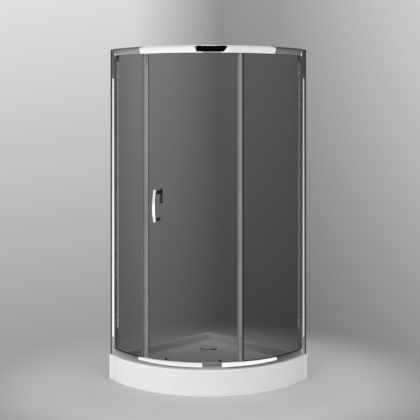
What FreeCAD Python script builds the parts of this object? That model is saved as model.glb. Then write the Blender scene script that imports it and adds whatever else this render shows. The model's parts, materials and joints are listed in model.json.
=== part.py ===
import FreeCAD, Part
import math
import os
import re

import Sketcher

# Corner shower enclosure: tray, curved rails, wall posts, two fixed panes and a sliding door.
# The origin is the middle of the square footprint on the floor, +Z is up. The room's corner is at -X +Y.
# Round pieces are laid out about the front arc's centre line. Angles count from the diagonal that runs
# from the room's corner to the front, and are positive towards +X +Y, which is the way the door opens.

# Driving dimensions in millimetres and degrees
SIZES = {
    # whole enclosure
    "footprint": 900,
    "arc_offset": 225,
    "return_length": 33,
    "tray_height": 150,
    "screen_height": 1900,
    # tray
    "tray_wall": 6,
    "basin_depth": 45,
    "rim_front": 68,
    "rim_wall": 40,
    "basin_corner": 60,
    "basin_round": 15,
    "edge_round": 4,
    "apron_rib": 10,
    # support under the tray
    "bar_width": 30,
    "bar_height": 20,
    "bar_wall": 2,
    "front_bar_inset": 445,
    "front_bar_length": 700,
    "front_leg_spread": 560,
    "rear_bar_from_corner": 168,
    "rear_bar_length": 220,
    "rear_leg_spread": 150,
    "leg_diameter": 12,
    "leg_clearance": 0.25,
    "leg_rise": 9,
    "nut_width": 19,
    "nut_height": 10,
    "pad_diameter": 46,
    "pad_height": 9,
    "pad_collar": 20,
    # waste
    "waste_from_wall": 206,
    "waste_hole": 90,
    "waste_clearance": 1,
    "flange_diameter": 112,
    "flange_plate": 2.5,
    "flange_wall": 3,
    "flange_skirt": 20,
    "waste_gasket": 3,
    "waste_wall": 3.5,
    "waste_collar": 5,
    "waste_floor_gap": 10,
    "thread_gap": 0.3,
    "outlet_diameter": 40,
    "outlet_wall": 3,
    "outlet_height": 42,
    "outlet_reach": 180,
    "outlet_root": 50,
    "outlet_shoulder": 12,
    "cover_diameter": 104,
    "cover_plate": 2.5,
    "cover_dome": 4,
    "cover_feet": 4,
    "cover_foot_diameter": 6,
    "cover_foot_circle": 90,
    # rails
    "rail_inset": 4,
    "rail_height": 42,
    "rail_wall": 2,
    "face_wall": 2,
    "face_slope": 5,
    "face_bulge": 0.6,
    "heel_height": 8,
    "heel_inset": 1.5,
    "heel_round": 22,
    "rib_width": 2.5,
    "rib_rise": 10,
    "boss_width": 15,
    "boss_height": 7,
    "boss_screw_inset": 9,
    "dam_height": 8,
    "rail_inside": 12,
    "trim_margin": 20,
    # glass, gaskets and seals
    "glass_thickness": 6,
    "gasket_lip": 2.5,
    "gasket_proud": 1.2,
    "fit_gap": 0.1,
    "infill_depth": 12,
    "seal_gap": 1.7,
    "seal_fit": 0.2,
    "seal_lip": 1.3,
    "seal_web": 2,
    "seal_reach": 12,
    "overlap_reach": 18,
    "magnet_width": 6,
    "magnet_overlap": 7,
    "magnet_gap": 0.5,
    "fin_width": 2,
    "fin_gap": 1.2,
    "fin_start": 16,
    "drip_plate": 2.8,
    "drip_lip": 2,
    "drip_reach": 8,
    "drip_gap": 1.6,
    # panes and door, as angles
    "fixed_left_edge": -36.2,
    "fixed_right_edge": 16,
    "door_right_edge": 18.5,
    "roller_left": -23.1,
    "roller_right": 6.3,
    "door_travel": 38,
    "door_bottom_gap": 8,
    "door_top_margin": 11,
    # posts and wall channels
    "post_width": 36,
    "post_wall": 1.8,
    "post_front": 54,
    "post_back": 16,
    "post_taper": 9,
    "post_face_radius": 150,
    "chamber_end": 36,
    "slot_depth": 13,
    "cap_plate": 1.5,
    "cap_plug": 8,
    "cap_plug_width": 4.5,
    "channel_gap": 0.3,
    "channel_depth": 28,
    "channel_wall": 1.8,
    "wall_hole": 5.5,
    "wall_hole_pitch": 500,
    # screws
    "screw_diameter": 4,
    "screw_hole": 4.3,
    "screw_head": 6.5,
    "screw_head_height": 2.4,
    "post_screw_from_wall": 22,
    "post_screw_length": 8,
    "post_screw_pitch": 700,
    "rail_screw_grip": 10,
    # wheels
    "wheel_clearance": 3,
    "wheel_width": 8,
    "groove_width": 3.5,
    "flange_height": 2,
    "top_tread": 9.5,
    "bottom_tread": 7,
    "track_gap": 0.3,
    "wheel_play": 0.5,
    "bore_gap": 0.05,
    "top_axle": 6,
    "bottom_axle": 5,
    "axle_shoulder": 14,
    "axle_head": 9,
    "axle_head_height": 1.5,
    "axle_stud": 8,
    "axle_hole": 10,
    "cap_nut": 18,
    "cap_nut_height": 9,
    "cap_nut_crown": 0.8,
    # bottom carriers
    "carrier_depth": 7.5,
    "carrier_width": 18,
    "carrier_lift": 9,
    "carrier_height": 36,
    "carrier_floor": 2,
    "carrier_back": 2,
    "slide_width": 10,
    "slide_gap": 0.3,
    "slider_below_axle": 3.7,
    "slider_proud": 5,
    "slider_pin_gap": 0.02,
    "spring_diameter": 4.2,
    "spring_wire": 0.6,
    "spring_turns": 4,
    "carrier_screw_drop": 6,
    "carrier_screw_head": 10,
    "carrier_screw_hole": 6.4,
    # door stops
    "stop_height": 16,
    "stop_angle": 1.2,
    "stop_gap": 0.6,
    # handle
    "handle_angle": -28,
    "handle_height": 1102,
    "handle_length": 195,
    "handle_bar": 22,
    "handle_bulge": 14,
    "handle_reach": 56,
    "handle_end_round": 9,
    "handle_pitch": 160,
    "spacer_width": 18,
    "spacer_straight": 12,
    "spacer_round": 10,
    "handle_bolt": 6,
    "handle_bolt_gap": 0.2,
    "handle_bolt_reach": 25,
    "handle_hole": 12,
    "washer_plate": 1,
    "washer_diameter": 17,
    "pull_length": 95,
    "pull_bar": 20,
    "pull_reach": 26,
    "pull_end_round": 8,
    "pull_drop": 24,
    "bolt_inner_reach": 12,
    "handle_nut_diameter": 18,
    "handle_nut_height": 5,
}

# Places that follow from the driving dimensions
PLACES = {
    "front_radius": "footprint - arc_offset",
    "centre_x": "footprint / 2 - front_radius",
    "centre_y": "front_radius - footprint / 2",
    "diagonal": "-45",
    "top_level": "tray_height + screen_height",
    "bottom_rail_top": "tray_height + rail_height",
    "top_rail_foot": "top_level - rail_height",
    "basin_floor": "tray_height - basin_depth",
    "basin_under": "basin_floor - tray_wall",
    "rail_outer": "front_radius - rail_inset",
    "face_height": "rail_height - heel_height",
    "face_radius": "(face_slope^2 + face_height^2) / (8 * face_bulge) + face_bulge / 2",
    "deck_under": "tray_height - tray_wall",
    "pocket_out": "rail_outer - face_slope - face_wall",
    "fixed_out": "pocket_out - gasket_lip",
    "fixed_in": "fixed_out - glass_thickness",
    "web_out": "fixed_in - gasket_lip",
    "web_in": "web_out - rail_wall",
    "wheel_out": "web_in - wheel_clearance",
    "wheel_mid": "wheel_out - wheel_width / 2",
    "wheel_in": "wheel_out - wheel_width",
    "rib_out": "wheel_mid + rib_width / 2",
    "rib_in": "wheel_mid - rib_width / 2",
    "carrier_out": "wheel_in - wheel_play",
    "door_out": "carrier_out - carrier_depth",
    "door_in": "door_out - glass_thickness",
    "rail_in": "door_in - rail_inside",
    "boss_in": "web_in - boss_width",
    "boss_screw": "boss_in + boss_screw_inset",
    "door_left_edge": "fixed_left_edge + (2 * (seal_fit + seal_web) + magnet_gap) / wheel_mid * 180 / pi",
    "door_bottom": "tray_height + rail_wall + door_bottom_gap",
    "top_wheel_level": "top_rail_foot + rib_rise + track_gap + top_tread",
    "bottom_wheel_level": "bottom_rail_top - rib_rise - track_gap - bottom_tread",
    "door_top": "top_wheel_level + door_top_margin",
    "carrier_bottom": "tray_height + rail_wall + carrier_lift",
    "carrier_top": "carrier_bottom + carrier_height",
    "slider_bottom": "bottom_wheel_level - slider_below_axle",
    "slider_top": "carrier_top + slider_proud",
    "carrier_screw_level": "carrier_top - carrier_screw_drop",
    "seal_bottom": "bottom_rail_top + seal_gap",
    "seal_top": "top_rail_foot - seal_gap",
    "slot_end": "post_front - slot_depth",
    "post_top": "top_level - cap_plate",
    "post_outer": "arc_offset + sqrt(rail_outer^2 - (arc_offset - post_front)^2)",
    "post_inner": "post_outer - post_width",
    "chamber_outer": "post_outer - post_taper - post_wall",
    "chamber_inner": "post_inner + post_wall",
    "screw_from_corner": "arc_offset + sqrt(boss_screw^2 - (arc_offset - post_front)^2)",
    "pane_end": "45 + asin((arc_offset - slot_end - gasket_lip - fit_gap) / fixed_out) / 1deg",
    "rail_gasket_end": "45 + asin((arc_offset - post_front - fit_gap) / pocket_out) / 1deg",
    "rail_end": "45 + asin((arc_offset - post_front + trim_margin) / rail_in) / 1deg",
    "middle_level": "tray_height + screen_height / 2",
    "bar_bottom": "basin_under - bar_height",
    "front_bar_forward": "front_radius - front_bar_inset",
    "rear_bar_forward": "rear_bar_from_corner - arc_offset * sqrt(2)",
    "waste_forward": "(2 * waste_from_wall - 2 * arc_offset) * sqrt(0.5)",
    "flange_tube": "waste_hole / 2 - waste_clearance - flange_wall / 3",
    "waste_bore": "flange_tube + thread_gap",
    "collar_top": "basin_under - waste_gasket",
    "handle_radius": "(handle_length^2 / 4 + handle_bulge^2) / (2 * handle_bulge)",
    "handle_sweep": "2 * asin(handle_length / 2 / handle_radius) / 1deg",
    "nut_seat": "glass_thickness + door_in - sqrt(door_in^2 - cap_nut^2 / 4)",
    "carrier_screw_seat": "glass_thickness + door_in - sqrt(door_in^2 - carrier_screw_head^2 / 4)",
    "washer_seat": "door_in - sqrt(door_in^2 - washer_diameter^2 / 4)",
    "handle_standoff": "handle_reach - handle_radius + sqrt(handle_radius^2 - handle_pitch^2 / 4)",
    "pull_height": "handle_height + handle_pitch / 2 - pull_drop",
}

LEFT = -1
RIGHT = 1
SIDES = {"left": LEFT, "right": RIGHT}
ROLLERS = {"left": "roller_left", "right": "roller_right"}
# Rows of holes, counted in pitches from the middle of the screen's height
POST_SCREW_ROW = (-1, 0, 1)
WALL_HOLE_ROW = (-1.5, -0.5, 0.5, 1.5)
NUT_SIDES = 6
COVER_FEET = 3
SAME = 1e-4
V = FreeCAD.Vector
UP = V(0, 0, 1)

doc = FreeCAD.newDocument("shower_enclosure")
sheet = doc.addObject("Spreadsheet::Sheet", "Sizes")
for row, (alias, number) in enumerate(SIZES.items(), start=1):
    sheet.set(f"A{row}", alias)
    sheet.set(f"B{row}", str(number))
    sheet.setAlias(f"B{row}", alias)
doc.recompute()
nodes = []


def expand(text):
    """Writes a formula out in terms of the sheet's cells."""
    def swap(match):
        word = match.group(0)
        if word in PLACES:
            return "(" + expand(PLACES[word]) + ")"
        if word in SIZES:
            return "Sizes." + word
        return word
    return re.sub(r"[a-z][a-z_]+", swap, str(text))


def value(text):
    """The number that a formula gives now."""
    result = sheet.evalExpression(expand(text))
    return float(getattr(result, "Value", result))


def bind(item, prop, text):
    """Ties a property to a formula."""
    item.setExpression(prop, expand(text))


def place(item, x="0", y="0", z="0", turn="0"):
    """Sets a piece at a point of the footprint, turned about the vertical."""
    item.Placement = FreeCAD.Placement(V(0, 0, 0), FreeCAD.Rotation(UP, 1))
    bind(item, "Placement.Base.x", x)
    bind(item, "Placement.Base.y", y)
    bind(item, "Placement.Base.z", z)
    bind(item, "Placement.Rotation.Angle", turn)
    return item


def at_arc(item, radius="0", angle="0", z="0", spin="0"):
    """Sets a piece by radius and angle about the front arc's centre, its X axis pointing outwards."""
    heading = f"({angle}) + diagonal"
    return place(item, f"centre_x + ({radius}) * cos({heading})", f"centre_y + ({radius}) * sin({heading})",
                 z, f"{heading} + ({spin})")


def at_wall(item, along, off, z, side, turns):
    """Sets a piece by its distance from the room's corner along a wall, and off that wall."""
    if side == RIGHT:
        return place(item, f"({along}) - footprint / 2", f"footprint / 2 - ({off})", z, turns[RIGHT])
    return place(item, f"({off}) - footprint / 2", f"footprint / 2 - ({along})", z, turns[LEFT])


AWAY_FROM_WALL = {LEFT: "0", RIGHT: "-90"}
INTO_WALL = {LEFT: "180", RIGHT: "90"}
ALONG_WALL = {LEFT: "-90", RIGHT: "0"}


def wall_point(along, off, side):
    """A corner given by its distances along and off a wall, in the arc's own axes."""
    return (f"(({along}) + ({off}) - 2 * arc_offset) * sqrt(0.5)",
            f"{side} * (({along}) - ({off})) * sqrt(0.5)")


def on_arc(radius, off):
    """Distance from the room's corner, along the wall, of a circle's point at a distance off that wall."""
    return f"(arc_offset + sqrt(({radius})^2 - (arc_offset - ({off}))^2))"


def new_body(label):
    body = doc.addObject("PartDesign::Body", label)
    body.Label = label
    return body


def new_sketch(body, plane, level="0"):
    """A sketch on one of the body's own planes, raised by level."""
    sketch = body.newObject("Sketcher::SketchObject", "Outline")
    support = [item for item in body.Origin.OriginFeatures if item.Role == plane][0]
    sketch.AttachmentSupport = (support, [""])
    sketch.MapMode = "FlatFace"
    bind(sketch, "AttachmentOffset.Base.z", level)
    return sketch


def arc_between(start, end, radius, turn):
    """The short arc from start to end, anticlockwise for turn 1 and clockwise for turn -1."""
    chord = end - start
    rise = math.sqrt(max(radius ** 2 - (chord.Length / 2) ** 2, 0))
    left = V(-chord.y, chord.x, 0).normalize()
    centre = (start + end) / 2 + left * (turn * rise)
    first, last = (start, end) if turn > 0 else (end, start)
    angles = [math.atan2(point.y - centre.y, point.x - centre.x) for point in (first, last)]
    return Part.ArcOfCircle(Part.Circle(centre, UP, radius), *angles)


def dimension(sketch, constraint, text):
    """Adds a dimension to a sketch and ties it to a formula."""
    index = sketch.addConstraint(constraint)
    name = f"size_{index}"
    sketch.renameConstraint(index, name)
    bind(sketch, f"Constraints.{name}", text)


def add_loop(sketch, corners):
    """Draws a closed outline. A corner is (x, y), or (x, y, radius, turn) where an arc leaves it."""
    base = sketch.GeometryCount
    count = len(corners)
    points = [V(value(corner[0]), value(corner[1]), 0) for corner in corners]
    ends = []
    for index, corner in enumerate(corners):
        start = points[index]
        end = points[(index + 1) % count]
        if len(corner) == 2:
            sketch.addGeometry(Part.LineSegment(start, end), False)
            ends.append((1, 2))
        else:
            sketch.addGeometry(arc_between(start, end, value(corner[2]), corner[3]), False)
            ends.append((1, 2) if corner[3] > 0 else (2, 1))
    for index in range(count):
        after = (index + 1) % count
        sketch.addConstraint(
            Sketcher.Constraint("Coincident", base + index, ends[index][1], base + after, ends[after][0]))
    for index, corner in enumerate(corners):
        geometry, end = base + index, ends[index][0]
        dimension(sketch, Sketcher.Constraint("DistanceX", -1, 1, geometry, end, points[index].x), corner[0])
        dimension(sketch, Sketcher.Constraint("DistanceY", -1, 1, geometry, end, points[index].y), corner[1])
        if len(corner) > 2:
            dimension(sketch, Sketcher.Constraint("Radius", geometry, value(corner[2])), corner[2])


def add_circle(sketch, x, y, radius):
    index = sketch.addGeometry(Part.Circle(V(value(x), value(y), 0), UP, value(radius)), False)
    dimension(sketch, Sketcher.Constraint("DistanceX", -1, 1, index, 3, value(x)), x)
    dimension(sketch, Sketcher.Constraint("DistanceY", -1, 1, index, 3, value(y)), y)
    dimension(sketch, Sketcher.Constraint("Radius", index, value(radius)), radius)


def rectangle(x_low, x_high, y_low, y_high):
    return [(x_low, y_low), (x_high, y_low), (x_high, y_high), (x_low, y_high)]


def pad(body, plane, length, loops, circles=(), level="0", both_ways=False):
    """Adds an extruded outline to a body."""
    sketch = new_sketch(body, plane, level)
    for corners in loops:
        add_loop(sketch, corners)
    for circle in circles:
        add_circle(sketch, *circle)
    feature = body.newObject("PartDesign::Pad", "Pad")
    feature.Profile = sketch
    if both_ways:
        feature.SideType = "Symmetric"
    bind(feature, "Length", length)
    return feature


def pocket(body, plane, loops, circles=(), depth=None, level="0"):
    """Cuts an outline out of a body, upwards by depth, or right through both ways."""
    sketch = new_sketch(body, plane, level)
    for corners in loops:
        add_loop(sketch, corners)
    for circle in circles:
        add_circle(sketch, *circle)
    doc.recompute()
    before = body.Shape.Volume
    feature = body.newObject("PartDesign::Pocket", "Pocket")
    feature.Profile = sketch
    if depth is None:
        feature.SideType = "Symmetric"
        feature.Type = "ThroughAll"
    else:
        feature.Reversed = True
        bind(feature, "Length", depth)
    doc.recompute()
    assert body.Shape.Volume < before, f"{body.Label}: a pocket removed nothing"
    return feature


def spin(body, plane, axis, corners, angle="360", both_ways=False):
    """Turns an outline about an axis of its sketch."""
    sketch = new_sketch(body, plane)
    add_loop(sketch, corners)
    feature = body.newObject("PartDesign::Revolution", "Revolution")
    feature.Profile = sketch
    feature.ReferenceAxis = (sketch, [axis])
    feature.Midplane = both_ways
    bind(feature, "Angle", angle)
    return feature


def arc_strip(label, corners, start, end):
    """A strip with a section in radius and height, swept about the front arc's centre."""
    body = new_body(label)
    spin(body, "XZ_Plane", "V_Axis", corners, f"({end}) - ({start})")
    return at_arc(body, angle=start)


def turned(label, corners):
    """A round piece about its own X axis, its outline in distance along the axis and radius."""
    body = new_body(label)
    spin(body, "XY_Plane", "H_Axis", corners)
    return body


def rod(label, start, end, radius):
    """A plain round bar along X, used for drilling."""
    body = new_body(label)
    pad(body, "YZ_Plane", f"({end}) - ({start})", [], [("0", "0", radius)], level=start)
    return body


def bunch(label, items):
    """Identical pieces that share one name."""
    group = doc.addObject("Part::Compound", label)
    group.Label = label
    group.Links = items
    return group


def drilled(label, base, tools):
    """A piece with the tools' volumes taken out."""
    result = doc.addObject("Part::Cut", label)
    result.Label = label
    result.Base = base
    result.Tool = bunch(label + "_tools", tools)
    return result


def rounded(body, radius, chosen):
    """Rounds the chosen edges of a body."""
    doc.recompute()
    tip = body.Tip
    names = [f"Edge{number}" for number, edge in enumerate(tip.Shape.Edges, start=1) if chosen(edge)]
    assert names, f"{body.Label}: no edge to round"
    feature = body.newObject("PartDesign::Fillet", "Fillet")
    feature.Base = (tip, names)
    bind(feature, "Radius", radius)
    doc.recompute()
    return feature


def at_level(edge, level):
    box = edge.BoundBox
    return abs(box.ZMin - value(level)) < SAME and abs(box.ZMax - value(level)) < SAME


def keep(item):
    nodes.append(item)
    return item


# Tray
def tray_outline(inset, wall_inset):
    """The footprint with its curved front, drawn in by inset at the front and wall_inset at the walls."""
    corner = wall_point(wall_inset, wall_inset, RIGHT)
    edge = f"({on_arc('front_radius', 'return_length')} - ({inset}))"
    radius = f"front_radius - ({inset})"
    turn_off = f"(arc_offset - sqrt(({radius})^2 - ({edge} - arc_offset)^2))"
    return [
        corner,
        wall_point(edge, wall_inset, LEFT),
        wall_point(edge, turn_off, LEFT) + (radius, 1),
        wall_point(edge, turn_off, RIGHT),
        wall_point(edge, wall_inset, RIGHT),
    ]


def basin_outline(front, wall, corner):
    """The basin: a rounded sector drawn in from the front arc and from the walls."""
    radius = f"(front_radius - ({front}))"
    centre_off = f"(({wall}) + ({corner}))"
    centre_run = f"sqrt(({radius} - ({corner}))^2 - (arc_offset - {centre_off})^2)"
    centre_along = f"(arc_offset + {centre_run})"
    stretch = f"({radius} / ({radius} - ({corner})))"
    touch_along = f"(arc_offset + {centre_run} * {stretch})"
    touch_off = f"(arc_offset - (arc_offset - {centre_off}) * {stretch})"
    return [
        wall_point(centre_off, wall, LEFT),
        wall_point(centre_along, wall, LEFT) + (corner, 1),
        wall_point(touch_along, touch_off, LEFT) + (radius, 1),
        wall_point(touch_along, touch_off, RIGHT) + (corner, 1),
        wall_point(centre_along, wall, RIGHT),
        wall_point(centre_off, wall, RIGHT) + (corner, 1),
    ]


def front_strip(outer, inner):
    """A strip along the curved front and its two short returns, between two insets."""
    outside = tray_outline(outer, "0")
    inside = tray_outline(inner, "0")
    return [
        outside[1],
        outside[2],
        outside[3],
        outside[4],
        inside[4],
        inside[3] + (f"front_radius - ({inner})", -1),
        inside[2][:2],
        inside[1],
    ]


def make_tray():
    tray = new_body("tray_shell")
    at_arc(tray)
    pad(tray, "XY_Plane", "tray_wall", [tray_outline("0", "0")], level="deck_under")
    front = value("front_radius * cos(45)")
    rounded(tray, "edge_round", lambda edge: at_level(edge, "tray_height") and edge.BoundBox.XMax > front)
    pad(tray, "XY_Plane", "apron_rib", level="deck_under - apron_rib",
        loops=[front_strip("tray_wall + fit_gap", "2 * tray_wall")])
    pad(tray, "XY_Plane", "basin_depth", level="basin_under",
        loops=[basin_outline("rim_front - tray_wall", "rim_wall - tray_wall", "basin_corner + tray_wall")])
    doc.recompute()
    rim = [edge.CenterOfMass for edge in tray.Tip.Shape.Edges]
    pocket(tray, "XY_Plane", [basin_outline("rim_front", "rim_wall", "basin_corner")], level="basin_floor",
           depth="basin_depth")
    rounded(tray, "basin_round", lambda edge: at_level(edge, "basin_floor"))
    rounded(tray, "edge_round", lambda edge: at_level(edge, "tray_height")
            and min(edge.CenterOfMass.distanceToPoint(middle) for middle in rim) > SAME)
    pocket(tray, "XY_Plane", [], [("waste_forward", "0", "waste_hole / 2")], depth="2 * tray_wall",
           level="basin_under - tray_wall / 2")
    keep(tray)
    apron = new_body("tray_apron")
    pad(apron, "XY_Plane", "deck_under", [front_strip("0", "tray_wall")])
    keep(at_arc(apron))


# Support under the tray
def make_bar(label, forward, length, spread):
    bar = new_body(label + "_tube")
    half = "bar_width / 2"
    wall = "bar_wall"
    pad(bar, "XZ_Plane", length, both_ways=True, loops=[
        rectangle(f"-{half}", half, "0", "bar_height"),
        rectangle(f"-{half} + {wall}", f"{half} - {wall}", wall, f"bar_height - {wall}")])
    at_arc(bar, radius=forward, z="bar_bottom")
    holes = []
    for side in SIDES.values():
        hole = new_body(f"{label}_hole_{side}")
        pad(hole, "XY_Plane", "2 * bar_wall", [], level="-bar_wall / 2",
            circles=[("0", f"{side} * ({spread}) / 2", "leg_diameter / 2 + leg_clearance")])
        holes.append(at_arc(hole, radius=forward, z="bar_bottom"))
    keep(drilled(label, bar, holes))


def make_legs():
    bars = (("front_bar_forward", "front_leg_spread"), ("rear_bar_forward", "rear_leg_spread"))
    studs = []
    nuts = []
    pads = []
    bore = "leg_diameter / 2 + leg_clearance"
    for forward, spread in bars:
        for side in SIDES.values():
            across = f"{side} * ({spread}) / 2"
            stud = new_body("stud")
            pad(stud, "XY_Plane", "bar_bottom + leg_rise - pad_height / 2", loops=[],
                circles=[("0", across, "leg_diameter / 2")])
            studs.append(at_arc(stud, radius=forward, z="pad_height / 2"))
            nut = new_body("nut")
            turns = [360 / NUT_SIDES * step for step in range(NUT_SIDES)]
            ring = [(f"nut_width / sqrt(3) * cos({turn})", f"{across} + nut_width / sqrt(3) * sin({turn})")
                    for turn in turns]
            pad(nut, "XY_Plane", "nut_height", [ring], [("0", across, bore)])
            nuts.append(at_arc(nut, radius=forward, z="bar_bottom - nut_height"))
            foot = new_body("foot")
            pad(foot, "XY_Plane", "pad_height / 2", [], [("0", across, "pad_diameter / 2")])
            pad(foot, "XY_Plane", "pad_height", level="pad_height / 2", loops=[],
                circles=[("0", across, "pad_collar / 2"), ("0", across, bore)])
            pads.append(at_arc(foot, radius=forward))
    keep(bunch("leg_studs", studs))
    keep(bunch("leg_nuts", nuts))
    keep(bunch("foot_pads", pads))


# Waste
def upright(label, corners):
    """A round piece about the waste's upright axis."""
    body = new_body(label)
    spin(body, "XZ_Plane", "V_Axis", corners)
    return at_arc(body, radius="waste_forward")


def make_waste():
    rim = "flange_diameter / 2"
    tube = "flange_tube"
    keep(upright("waste_flange", [
        (f"{tube} - flange_wall", "basin_under - flange_skirt"),
        (tube, "basin_under - flange_skirt"),
        (tube, "basin_floor"),
        (rim, "basin_floor"),
        (rim, "basin_floor + flange_plate / 2"),
        (f"{rim} - flange_plate / 2", "basin_floor + flange_plate"),
        (f"{tube} - flange_wall", "basin_floor + flange_plate")]))
    keep(upright("waste_gasket", rectangle("waste_hole / 2", rim, "collar_top", "basin_under")))
    wall = "waste_bore + waste_wall"
    cup = upright("waste_cup", [
        ("0", "waste_floor_gap"),
        (wall, "waste_floor_gap"),
        (wall, "collar_top - waste_collar"),
        (rim, "collar_top - waste_collar"),
        (rim, "collar_top"),
        ("0", "collar_top")])
    cavity = upright("waste_cavity", rectangle(
        "0", "waste_bore", "waste_floor_gap + waste_wall", "collar_top + trim_margin"))
    doc.recompute()
    pipe = new_body("waste_pipe")
    root = "waste_bore - 2 * waste_wall"
    pad(pipe, "YZ_Plane", f"outlet_reach - ({root})", [], [("0", "0", "outlet_diameter / 2")], level=root)
    pad(pipe, "YZ_Plane", "3 * waste_wall + outlet_shoulder", [], [("0", "0", "outlet_root / 2")], level=root)
    at_arc(pipe, radius="waste_forward", z="outlet_height", spin="180")
    bore = rod("waste_pipe_bore", "waste_bore / 2", "2 * outlet_reach", "outlet_diameter / 2 - outlet_wall")
    at_arc(bore, radius="waste_forward", z="outlet_height", spin="180")
    whole = doc.addObject("Part::Fuse", "waste_whole")
    whole.Base = cup
    whole.Tool = pipe
    keep(drilled("waste_body", whole, [cavity, bore]))
    edge = "cover_diameter / 2"
    base = "basin_floor + flange_plate + cover_feet"
    cover = upright("waste_cover", [
        ("0", base),
        (edge, base),
        (edge, f"{base} + cover_plate", "(cover_diameter^2 / 4 + cover_dome^2) / (2 * cover_dome)", 1),
        ("0", f"{base} + cover_plate + cover_dome")])
    turns = [360 / COVER_FEET * step for step in range(COVER_FEET)]
    feet = [(f"cover_foot_circle / 2 * cos({turn})", f"cover_foot_circle / 2 * sin({turn})",
             "cover_foot_diameter / 2") for turn in turns]
    pad(cover, "XY_Plane", "cover_feet + cover_plate / 2", [], feet, level="basin_floor + flange_plate")
    keep(cover)


# Rails
def level_at(height, rail):
    """A height counted from a rail's edge at the doorway towards its closed side."""
    return f"top_rail_foot + ({height})" if rail == "top" else f"bottom_rail_top - ({height})"


def section(points, rail):
    """A rail section in radius and height from the doorway edge, as an outline."""
    corners = []
    for point in points:
        corner = (point[0], level_at(point[1], rail))
        if len(point) > 2:
            corner += (point[2], point[3] if rail == "top" else -point[3])
        corners.append(corner)
    return corners


def screw_tool(label, rail, side):
    """The screw hole that runs from a post into a rail's end."""
    start = "chamber_end - post_front - trim_margin"
    tool = rod(label, start, "rail_screw_grip + screw_hole", "screw_hole / 2")
    return at_wall(tool, "screw_from_corner", "post_front", boss_level(rail), side, AWAY_FROM_WALL)


def boss_level(rail):
    return level_at("rail_height - rail_wall - boss_height / 2", rail)


def make_rail(rail):
    plate = "rail_height - rail_wall"
    profile = [
        ("rail_outer - face_slope", "0", "face_radius", 1),
        ("rail_outer", "face_height", "heel_round", 1),
        ("rail_outer - heel_inset", "rail_height"),
        ("rail_in", "rail_height"),
        ("rail_in", f"{plate} - dam_height"),
        ("rail_in + rail_wall", f"{plate} - dam_height"),
        ("rail_in + rail_wall", plate),
        ("boss_in", plate),
        ("boss_in", f"{plate} - boss_height"),
        ("web_in", f"{plate} - boss_height"),
        ("web_in", "rail_wall"),
        ("rib_out", "rail_wall"),
        ("rib_out", "rib_rise"),
        ("rib_in", "rib_rise"),
        ("rib_in", "0"),
        ("web_out", "0"),
        ("web_out", plate),
        ("pocket_out", plate),
        ("pocket_out", "0"),
    ]
    blank = arc_strip(f"{rail}_rail_blank", section(profile, rail), "-rail_end", "rail_end")
    trims = []
    for name, side in SIDES.items():
        trim = new_body(f"{rail}_rail_trim_{name}")
        pad(trim, "XY_Plane", "top_level + rail_height", [[
            wall_point("post_inner - 4 * trim_margin", "post_front", side),
            wall_point("post_outer + 4 * trim_margin", "post_front", side),
            wall_point("post_outer + 4 * trim_margin", "-4 * trim_margin", side),
            wall_point("post_inner - 4 * trim_margin", "-4 * trim_margin", side)]])
        trims.append(at_arc(trim))
        trims.append(screw_tool(f"{rail}_rail_hole_{name}", rail, side))
    keep(drilled(f"{rail}_rail", blank, trims))


def make_rail_glazing(rail):
    """The gaskets that hold the fixed panes in a rail, and the strip that fills its pocket at the doorway."""
    plate = "rail_height - rail_wall"
    channel = [
        ("pocket_out - fit_gap", "-gasket_proud"),
        ("pocket_out - fit_gap", plate),
        ("web_out + fit_gap", plate),
        ("web_out + fit_gap", "-gasket_proud"),
        ("fixed_in - fit_gap", "-gasket_proud"),
        ("fixed_in - fit_gap", f"{plate} - gasket_lip + fit_gap"),
        ("fixed_out + fit_gap", f"{plate} - gasket_lip + fit_gap"),
        ("fixed_out + fit_gap", "-gasket_proud"),
    ]
    spans = {
        "left": ("-rail_gasket_end", "fixed_left_edge"),
        "right": ("fixed_right_edge", "rail_gasket_end"),
    }
    for name, (start, end) in spans.items():
        keep(arc_strip(f"{rail}_gasket_{name}", section(channel, rail), start, end))
    bar = [
        ("pocket_out - fit_gap", "0"),
        ("pocket_out - fit_gap", "infill_depth"),
        ("web_out + fit_gap", "infill_depth"),
        ("web_out + fit_gap", "0"),
    ]
    gap = "fit_gap / web_out * 180 / pi"
    keep(arc_strip(f"{rail}_infill", section(bar, rail), f"fixed_left_edge + {gap}",
                   f"fixed_right_edge - {gap}"))


# Posts and wall channels
def upright_profile(label, corners, bottom, top):
    body = new_body(label)
    pad(body, "XY_Plane", f"({top}) - ({bottom})", [corners])
    return at_arc(body, z=bottom)


def post_face(side):
    """The post's curved outer face, from its front corner to its edge at the wall."""
    return [wall_point("post_outer", "post_front", side) + ("post_face_radius", -side),
            wall_point("post_outer - post_taper", "post_back", side)]


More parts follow.
